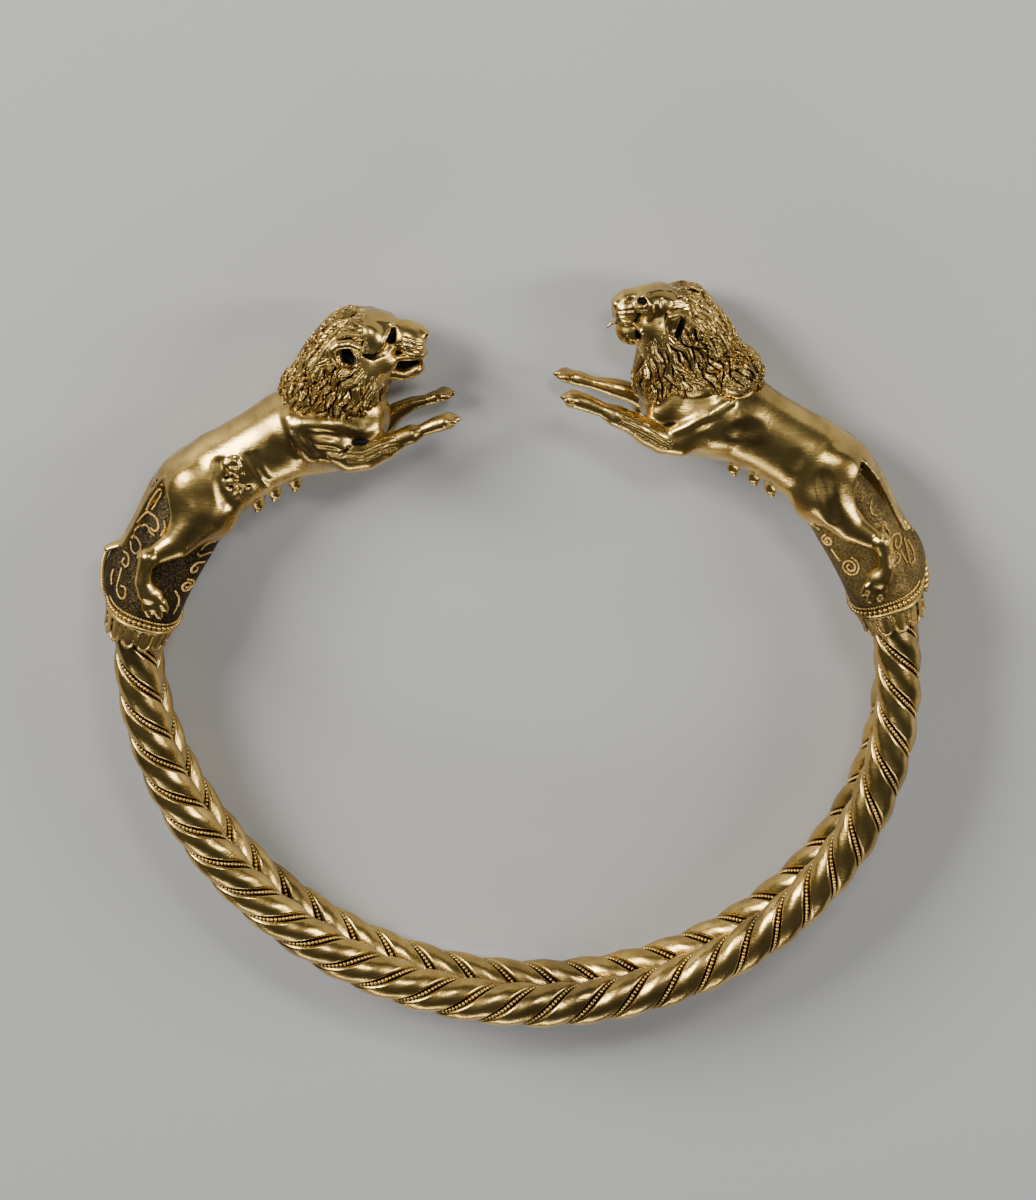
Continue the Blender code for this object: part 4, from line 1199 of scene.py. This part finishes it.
def add_right_head(wax):
    """Neck, mane, brow, blunt muzzle, shut mouth with its hole and wire, and folded ear."""
    wax.ball((21.5, 27.5, 0.0), (7.2, 5.0, 4.6), turn=61, blend=0.8)
    wax.ball((17.0, 25.2, 0.0), (3.3, 2.6, 4.2), turn=20, blend=0.8)
    wax.ball((24.8, 24.6, 0.0), (2.4, 3.4, 3.6), turn=10, blend=0.8)
    wax.ball((24.0, 31.0, 0.0), (3.6, 3.3, 3.2), blend=0.6)
    wax.limb([(21.6, 32.3, 3.0, 1.1), (21.3, 33.1, 1.9, 1.1), (21.3, 33.6, 0.0, 1.1),
              (21.3, 32.8, -1.9, 1.1), (21.6, 32.0, -3.0, 1.1)], blend=0.5, sides=(1,))
    count = add_mane(wax, (20.9, 26.9), (8.5, 5.4, 4.6), 61, RIGHT_MANE, (25.5, 31.0), 23)
    hair_band(wax, [(23.6, 34.1), (22.4, 34.4), (21.0, 34.0), (19.6, 32.9), (18.4, 31.4), (17.4, 29.8)])
    hair_band(wax, [(23.7, 33.2), (22.4, 33.6), (21.1, 33.1), (19.9, 31.9), (19.0, 30.4), (18.2, 28.8)],
              count=4)
    wax.ball((24.8, 33.3, 0.0), (2.5, 1.8, 2.5), blend=0.4)
    wax.ball((24.9, 33.5, 1.4), (2.3, 1.5, 1.5), blend=0.4, sides=(1,))
    wax.limb([(23.5, 34.8, 1.2, 0.18), (24.8, 35.0, 1.4, 0.2), (26.0, 34.8, 1.7, 0.2),
              (26.7, 34.3, 1.8, 0.18)], blend=0.15, sides=(1,))
    wax.limb([(26.4, 33.4, 0.0, 1.5), (28.0, 33.3, 0.0, 1.2), (28.8, 33.1, 0.0, 0.8)], blend=0.4)
    wax.ball((27.8, 32.5, 0.0), (1.8, 1.7, 1.8), blend=0.4)
    wax.ball((28.2, 32.2, 0.95), (1.2, 1.3, 0.95), blend=0.3)
    wax.ball((27.5, 29.9, 0.0), (1.8, 1.6, 1.6), turn=10, blend=0.4)
    wax.ball((25.6, 31.0, 2.0), (1.4, 1.7, 1.0), blend=0.4)
    wax.limb([(29.1, 33.1, -0.7, 0.5), (29.15, 33.2, 0.7, 0.5)], blend=0.25, sides=(1,))
    wax.limb([(29.0, 33.0, 0.0, 0.62), (29.1, 31.7, 0.0, 0.55)], blend=0.3)
    wax.limb([(26.1, 34.5, 2.1, 0.22), (25.6, 33.9, 2.7, 0.3), (25.5, 33.0, 2.8, 0.28),
              (25.8, 32.3, 2.7, 0.2)], blend=0.2, sides=(1,))
    wax.limb([(24.5, 34.4, 2.6, 0.14), (24.4, 33.3, 3.2, 0.2), (24.6, 32.0, 3.3, 0.14)],
             blend=0.2, cut=True, sides=(1,))
    wax.ball((26.7, 34.0, 2.2), (0.75, 0.38, 0.8), turn=-20, blend=0.12, cut=True)
    wax.ball((27.8, 33.9, 1.5), (0.6, 0.28, 0.6), turn=-15, blend=0.12, cut=True)
    wax.ball((26.7, 33.2, 1.95), (0.6, 0.45, 0.35), turn=-20, blend=0.15)
    wax.trace([(26.1, 33.9), (26.0, 33.2), (26.5, 32.8), (27.1, 33.1)], 0.14)
    for height in (32.9, 32.4, 31.9):
        wax.trace([(27.4, height), (28.2, height - 0.05), (29.0, height - 0.25)], 0.08)
    wax.limb([(29.5, 31.2, 0.0, 0.16), (29.2, 31.15, 0.8, 0.16), (28.2, 31.1, 1.7, 0.18),
              (27.3, 30.9, 2.1, 0.2)], blend=0.15, cut=True)
    hole = (26.9, 30.1, wax.surface(26.9, 30.1))
    wax.ball(hole, (0.36, 0.72, 0.8), turn=8, blend=0.1, cut=True, sides=(1,))
    for start, end in (((28.9, 29.6), (28.4, 28.7)), ((28.1, 29.9), (27.8, 28.8)),
                       ((27.4, 29.1), (27.3, 28.3))):
        wax.trace([start, end], 0.1, sides=(1,))
    upper_lip = [(29.1, 31.5), (28.2, 31.6), (27.4, 31.3), (26.6, 30.9)]
    wax.trace(upper_lip, 0.2, 0.02, 0.15, cut=False, sides=(1,))
    wax.limb([(26.9, 30.5, 1.2, 0.4), (26.9, 29.8, 1.2, 0.4)], blend=0.12, cut=True)
    wax.limb([(28.9, 31.1, 0.6, 0.22), (29.7, 31.0, 0.8, 0.16), (30.2, 30.5, 0.9, 0.09)],
             blend=0.1, sides=(1,))
    ear = [(23.7, 31.1, 3.7, 0.3), (23.9, 32.2, 3.9, 0.32), (23.6, 33.1, 4.0, 0.36),
           (22.6, 33.4, 4.1, 0.34), (21.7, 32.9, 4.1, 0.3), (21.6, 32.0, 4.0, 0.3),
           (22.3, 31.2, 3.9, 0.28)]
    wax.ball((22.8, 32.2, 3.3), (1.3, 1.4, 0.9), blend=0.2)
    wax.limb(ear, blend=0.15)
    wax.trace([(22.3, 33.0), (22.5, 32.1), (22.8, 31.0)], 0.32, -0.1, 0.12, sides=(1,))
    print("right mane:", count, "locks")


# %% [markdown]
# Some hollows look black although they aren't narrow: the mouth, the eye and ear sockets and the
# armpit. Each gets a soft spot of painted shade, as extra recess with a middle and a reach along the
# three axes.

# %% Painted shade in the deep hollows
DEEP_SHADE_SPOTS = {"left": (((28.6, 28.2, 0.0), (2.0, 0.8, 3.0)), ((27.2, 31.7, 2.0), (0.6, 1.3, 1.4)),
                 ((22.5, 30.2, 4.0), (1.0, 0.8, 0.8)), ((10.0, 16.2, 4.4), (1.1, 2.2, 0.6)),
                 ((23.6, 20.6, 4.2), (1.4, 0.5, 0.8))),
        "right": (((26.9, 30.1, 1.6), (0.5, 0.9, 1.1)), ((26.9, 34.0, 1.9), (1.1, 0.45, 0.8)),
                  ((22.5, 32.0, 3.8), (0.5, 1.1, 0.6)))}


def painted_shade_spots(word):
    """A rule that gives the extra recess, painted shade, at places of the figure."""
    def amount(figure):
        total = np.zeros(len(figure))
        for middle, reach in DEEP_SHADE_SPOTS[word]:
            far = np.linalg.norm((figure - middle) / reach, axis=1)
            total += np.clip(2.0 - 2.0 * far, 0.0, 1.0)
        return total * 0.9
    return amount


# %% [markdown]
# ## Casting the two animals
# Fur needs a finer grid than the smooth body, so the head and the mane are one piece and the rest
# of the animal another. They overlap under the mane. The right animal is the same figure seen in
# a mirror, so her faces are turned the right way out again.

# %% Casting both
HEADS = {"left": add_left_head, "right": add_right_head}
FOLDS = {"left": chase_left_body, "right": chase_right_body}
BODY_CELL = 0.16
HEAD_CELL = 0.10
TRIANGLES = {"body": 85000, "head": 180000}
FIGURE_BOTTOM = -5.93
FIGURE_TOP = 6.3
places, bodies = {}, {}
for word, mirror, shift in (("left", 1, 0.35), ("right", -1, 0.0)):
    ring_x, ring_y = oval_point(LEFT_ANGLE if word == "left" else RIGHT_ANGLE)
    ring_x += mirror * shift

    def place(points, mirror=mirror, ring_x=ring_x, ring_y=ring_y):
        return np.stack([HOOP_X + ring_x + mirror * points[:, 0], HOOP_Y + ring_y + points[:, 1],
                         HOOP_Z + points[:, 2]], axis=1)

    body = Wax((-6.0, -1.0, -7.0), (38.0, 30.0, 7.0), BODY_CELL)
    add_body(body, word)
    FOLDS[word](body)
    places[word], bodies[word] = place, body
    head = Wax((10.5, 18.5, -6.0), (32.0, 37.5, 6.0), HEAD_CELL)
    HEADS[word](head)
    for part, wax in (("body", body), ("head", head)):
        outside = np.maximum(FIGURE_BOTTOM - wax.lines[2], wax.lines[2] - FIGURE_TOP)
        wax.field = np.maximum(wax.field, outside).astype(np.float32)
        mesh = cast(f"{word} lioness {part}", wax, place, TRIANGLES[part], painted_shade_spots(word))
        if mirror < 0:
            mesh.flip_normals()
        finish_piece(f"{word}_lioness_{part}", mesh, animal_gold, [f"{word}_lioness"])

# %% [markdown]
# ## Sleeve and collar of leaves
# Below the bead ring sixteen tongue-shaped leaves lie round the mouth, each with a swollen middle
# and a wire soldered along its edge. The sheet, the leaves and the plain ring are one casting here;
# its distance is worked out from the sleeve coordinates, so every leaf bends with the sleeve.

# %% Sheet, leaves and plain ring
LEAVES = 16
LEAF_HALF = 0.87
LEAF_MIDDLE = -1.2
LEAF_ROOT = -0.4
LEAF_TIP_START = 0.35 - COLLAR
SHEET = 0.6
EDGE_WIRE = 0.14
RING_PLACE = -0.62
RING_WIRE = 0.23
SLEEVE_CELL = 0.12
SLEEVE_TRIANGLES = 56000
# Most painted shade on the sheet behind the filigree, for each cuff.
GROUND_SHADE = {"left": 0.52, "right": 0.42}


def cuff_wax():
    """The sheet, the leaves with their edge wires and the plain ring, as one grid of distances."""
    wax = Wax((-7.0, -5.2, -6.3), (12.4, 17.4, 6.3), SLEEVE_CELL)
    x, y, z = np.meshgrid(*wax.lines, indexing="ij", sparse=True)
    along, turn, height = sleeve_place(x, y, z)
    turns, girth = round_table(LEAF_MIDDLE)
    sector = np.interp(turn, turns, girth) / girth[-1] * LEAVES
    side = (sector % 1.0 - 0.5) * girth[-1] / LEAVES
    ends = np.maximum(-0.7 - along, along - SLEEVE_TOP)
    sheet = np.maximum(np.maximum(height, -height - SHEET), ends)
    below = np.minimum(along - LEAF_TIP_START, 0.0)
    outline = np.maximum(np.hypot(side, below) - LEAF_HALF, along - LEAF_ROOT)
    crown = 0.24 * (1 - np.clip(np.abs(side) / LEAF_HALF, 0, 1) ** 2) - 0.15
    plate = np.maximum(outline, np.maximum(height - crown, crown - height - 0.45))
    edge = np.hypot(outline + 0.06, height - 0.08) - EDGE_WIRE
    ring = np.hypot(along - RING_PLACE, height - 0.06) - RING_WIRE
    wax.field = np.minimum(np.minimum(sheet, plate), np.minimum(edge, ring)).astype(np.float32)
    wax.ball((-2.1, 3.9, 0.0), (3.5, 1.75, 2.8), turn=75, blend=0.9)
    return wax


sleeve_wax = cuff_wax()
for word, place in places.items():
    def ground_shade(figure, most=GROUND_SHADE[word]):
        """The sheet behind the filigree gets painted shade; the leaves do not."""
        along = sleeve_place(figure[:, 0], figure[:, 1], figure[:, 2])[0]
        return np.interp(along, (-0.5, 0.4), (0.12, most))

    mesh = cast(f"{word} sleeve", sleeve_wax, place, SLEEVE_TRIANGLES, ground_shade)
    if word == "right":
        mesh.flip_normals()
    finish_piece(f"{word}_cuff_sleeve", mesh, cuff_gold, [f"{word}_cuff"])

# %% [markdown]
# ## Bead ring and filigree
# Two rows of grains close the collar: large ones outside and fine ones inside. The ground of the
# sleeve is filled with scrolls of beaded wire; each scroll is drawn by a few points from the
# photograph and laid on the sheet or on the body, whichever lies higher. The far side repeats it.

# %% Laying a wire on the cuff
WIRE_TOP = 5.7
WIRE_LIFT = 0.06


def smooth_path(points, step=0.12):
    """A rounded path through a few points, walked in equal steps."""
    points = np.array(points, dtype=float)
    ahead, behind = 2 * points[:1] - points[1:2], 2 * points[-1:] - points[-2:-1]
    points = np.concatenate([ahead, points, behind])
    walked = []
    for before, start, end, after in zip(points, points[1:], points[2:], points[3:]):
        count = max(int(np.linalg.norm(end - start) / step), 2)
        for share in np.arange(count) / count:
            walked.append(0.5 * (2 * start + (end - before) * share
                                 + (2 * before - 5 * start + 4 * end - after) * share ** 2
                                 + (3 * start - before - 3 * end + after) * share ** 3))
    walked.append(points[-2])
    return np.array(walked)


def spiral(centre, radius, turns, start, hand=1, inner=0.25):
    """Points of a flat spiral from its outer end to its eye."""
    share = np.linspace(0, 1, int(10 * turns) + 2)
    angle = math.radians(start) + hand * 2 * math.pi * turns * share
    reach = radius * (1 - (1 - inner) * share)
    return [(centre[0] + r * math.cos(a), centre[1] + 1.1 * r * math.sin(a))
            for r, a in zip(reach, angle)]


def laid(word, path, side):
    """The path on the near or the far side of the cuff, lifted off the ground."""
    places_found = []
    for x, y in path:
        deep = max(sleeve_wax.surface(x, y, side), bodies[word].surface(x, y, side))
        places_found.append((x, y, side * (min(deep, WIRE_TOP) + WIRE_LIFT)))
    return np.array(places_found)


# %% [markdown]
# The two cuffs don't match. The left one has hooks and waves, the right one spirals and a knot of
# loops. The rope at the back edge is thin on the left and thick on the right, where it is the end
# of the tail. All points are millimetres in the figure's axes.

# %% Scrolls on the ground
SCROLLS = {
    "left": [[(0.9, 11.7), (1.2, 12.5), (1.7, 13.4), (2.3, 14.2), (2.5, 13.7), (2.0, 12.7), (1.5, 11.9)],
             [(-0.1, 10.2), (0.5, 11.0), (1.2, 11.5), (1.9, 11.4), (2.2, 10.8), (2.1, 10.3), (1.7, 10.1),
              (1.4, 10.3)],
             [(-0.4, 9.2), (0.1, 9.8), (0.7, 10.3), (1.1, 10.3), (1.3, 9.9), (1.7, 9.7)],
             [(2.8, 11.2), (2.9, 10.5), (2.5, 9.8)],
             [(-0.8, 8.3), (-0.2, 8.8), (0.2, 8.5), (0.3, 8.1), (-0.1, 7.5)],
             [(-0.9, 7.9), (-0.7, 7.4), (-0.3, 7.4)],
             [(-1.6, 6.8), (-1.1, 6.7), (-1.1, 6.1), (-1.4, 5.7), (-1.8, 5.9), (-1.6, 6.3)],
             [(-1.9, 5.3), (-2.1, 4.5), (-2.3, 3.8), (-2.4, 3.1), (-2.1, 2.6), (-1.6, 2.7), (-1.4, 3.3),
              (-1.5, 3.8), (-1.9, 3.7)],
             [(-2.8, 4.9), (-3.0, 4.2), (-3.0, 3.4)],
             [(8.1, 8.6), (7.6, 8.6), (7.0, 8.3), (6.7, 8.0)],
             [(7.7, 7.1), (7.1, 7.2), (6.5, 7.2), (6.3, 7.5)],
             [(6.9, 6.2), (6.3, 6.4), (5.7, 6.0), (5.6, 5.4), (6.1, 5.4), (6.2, 5.8)],
             spiral((5.1, 3.8), 0.75, 1.6, 80, -1),
             [(3.9, 3.5), (4.2, 2.6), (4.1, 1.7), (3.6, 0.9)]],
    "right": [[(2.1, 11.5), (2.2, 10.9), (2.0, 10.3), (1.5, 10.0)],
              [(0.7, 9.2), (0.5, 8.6), (0.2, 8.1), (0.5, 7.7), (0.9, 8.2), (0.9, 9.0)],
              [(-0.1, 6.5), (0.1, 7.3), (-0.3, 7.7), (-0.9, 7.4), (-1.1, 6.7), (-0.8, 6.3), (-0.4, 6.7),
               (-0.5, 7.1)],
              [(-1.5, 6.7), (-1.7, 6.0), (-1.9, 5.2), (-2.1, 4.4), (-2.3, 4.2), (-2.6, 4.6), (-2.4, 5.5),
               (-1.9, 6.4)],
              [(-0.4, 6.1), (-0.1, 5.6), (-0.3, 5.1), (-0.8, 5.0), (-1.0, 5.5), (-0.7, 5.8)],
              [(-1.1, 5.9), (-1.4, 5.2), (-1.8, 4.5)],
              spiral((4.3, 4.5), 1.0, 1.9, 100, 1),
              spiral((6.7, 7.1), 0.6, 1.4, 60, -1),
              [(8.5, 9.0), (8.0, 8.6), (7.6, 8.2)],
              [(6.2, 6.1), (5.8, 5.5), (5.4, 5.0)]]}
ROPES = {"left": [(-2.4, 6.9), (-3.3, 6.4), (-3.8, 5.4), (-4.05, 4.0), (-4.1, 2.8), (-4.05, 1.6),
                  (-3.8, 0.8)],
         "right": [(-1.3, 7.8), (-2.2, 6.3), (-2.9, 4.9), (-3.4, 3.5), (-3.75, 2.0), (-3.85, 0.6),
                   (-3.75, -0.4)]}
ROPE_SIZE = {"left": 0.16, "right": 0.31}


def twisted(path, radius, strands=3, pitch=3.2):
    """Strands that wind round a path; the pitch is in diameters of the rope."""
    path = smooth_path(path, step=0.08)
    path = np.column_stack([path, np.zeros(len(path))])
    run = np.gradient(path, axis=0)
    run /= np.linalg.norm(run, axis=1)[:, None]
    aside = np.cross(run, (0.0, 0.0, 1.0))
    walked = np.concatenate([[0.0], np.cumsum(np.linalg.norm(np.diff(path, axis=0), axis=1))])
    ropes = []
    for strand in range(strands):
        angle = 2 * math.pi * (strand / strands + walked / (pitch * 2 * radius))
        ropes.append(path + aside * (radius * np.cos(angle))[:, None]
                     + np.array((0.0, 0.0, 1.0)) * (radius * np.sin(angle))[:, None])
    return ropes


def ring_path(along, height):
    """A closed ring round the sleeve, its points evenly apart."""
    turns, girth = round_table(along)
    even = np.interp(np.linspace(0, girth[-1], 241)[:-1], girth, turns)
    return sleeve_point(np.full(240, float(along)), even, height)


print("scrolls drawn:", {word: len(paths) for word, paths in SCROLLS.items()})

# %% [markdown]
# The groups made for the hoop now grow the grains, the scrolls and the rope. Each kind has its own
# spacing and size, in metres as the groups take them, and one low recess for all its points: a wire
# this thin gets hardly any painted shade, and only the ground under it is shaded.

# %% Growing the wires
GRAIN_ROWS = {"grains": (0.05, 0.13), "fine grains": (0.56, 0.05)}
BEADS = {"grains": {"Spacing": 0.00056, "Bead radius": 0.00031, "Uneven": 0.2, "Segments": 10,
                    "Rings": 7, "Seed": 5},
         "fine grains": {"Spacing": 0.00031, "Bead radius": 0.00018, "Seed": 6},
         "filigree": {"Spacing": 0.0002, "Bead radius": 0.000175, "Uneven": 0.12, "Segments": 6,
                      "Seed": 7}}
WIRE_RECESS = {"grains": 0.1, "fine grains": 0.3, "filigree": 0.25, "tail rope": 0.15}
STRAND_SHARE = 0.98

for word, place in places.items():
    scrolls = []
    for path in SCROLLS[word]:
        for side in (1, -1):
            scrolls.append(place(laid(word, smooth_path(path), side)))
    strands = [place(strand) for strand in twisted(ROPES[word], ROPE_SIZE[word])]
    wires = {}
    for kind, (along, height) in GRAIN_ROWS.items():
        row = curve_object(kind, [place(ring_path(along, height))], closed=True)
        wires[kind] = grown(row, bead_group, **BEADS[kind])
    wires["filigree"] = grown(curve_object("filigree", scrolls), bead_group, **BEADS["filigree"])
    strand_size = {"Radius": ROPE_SIZE[word] * STRAND_SHARE * MM, "Sides": 8}
    wires["tail rope"] = grown(curve_object("tail rope", strands), wire_group, **strand_size)
    for kind, mesh in wires.items():
        mark(mesh, "recess", WIRE_RECESS[kind])
        finish_piece(f"{word}_{kind.replace(' ', '_')}", mesh, wire_gold, [])
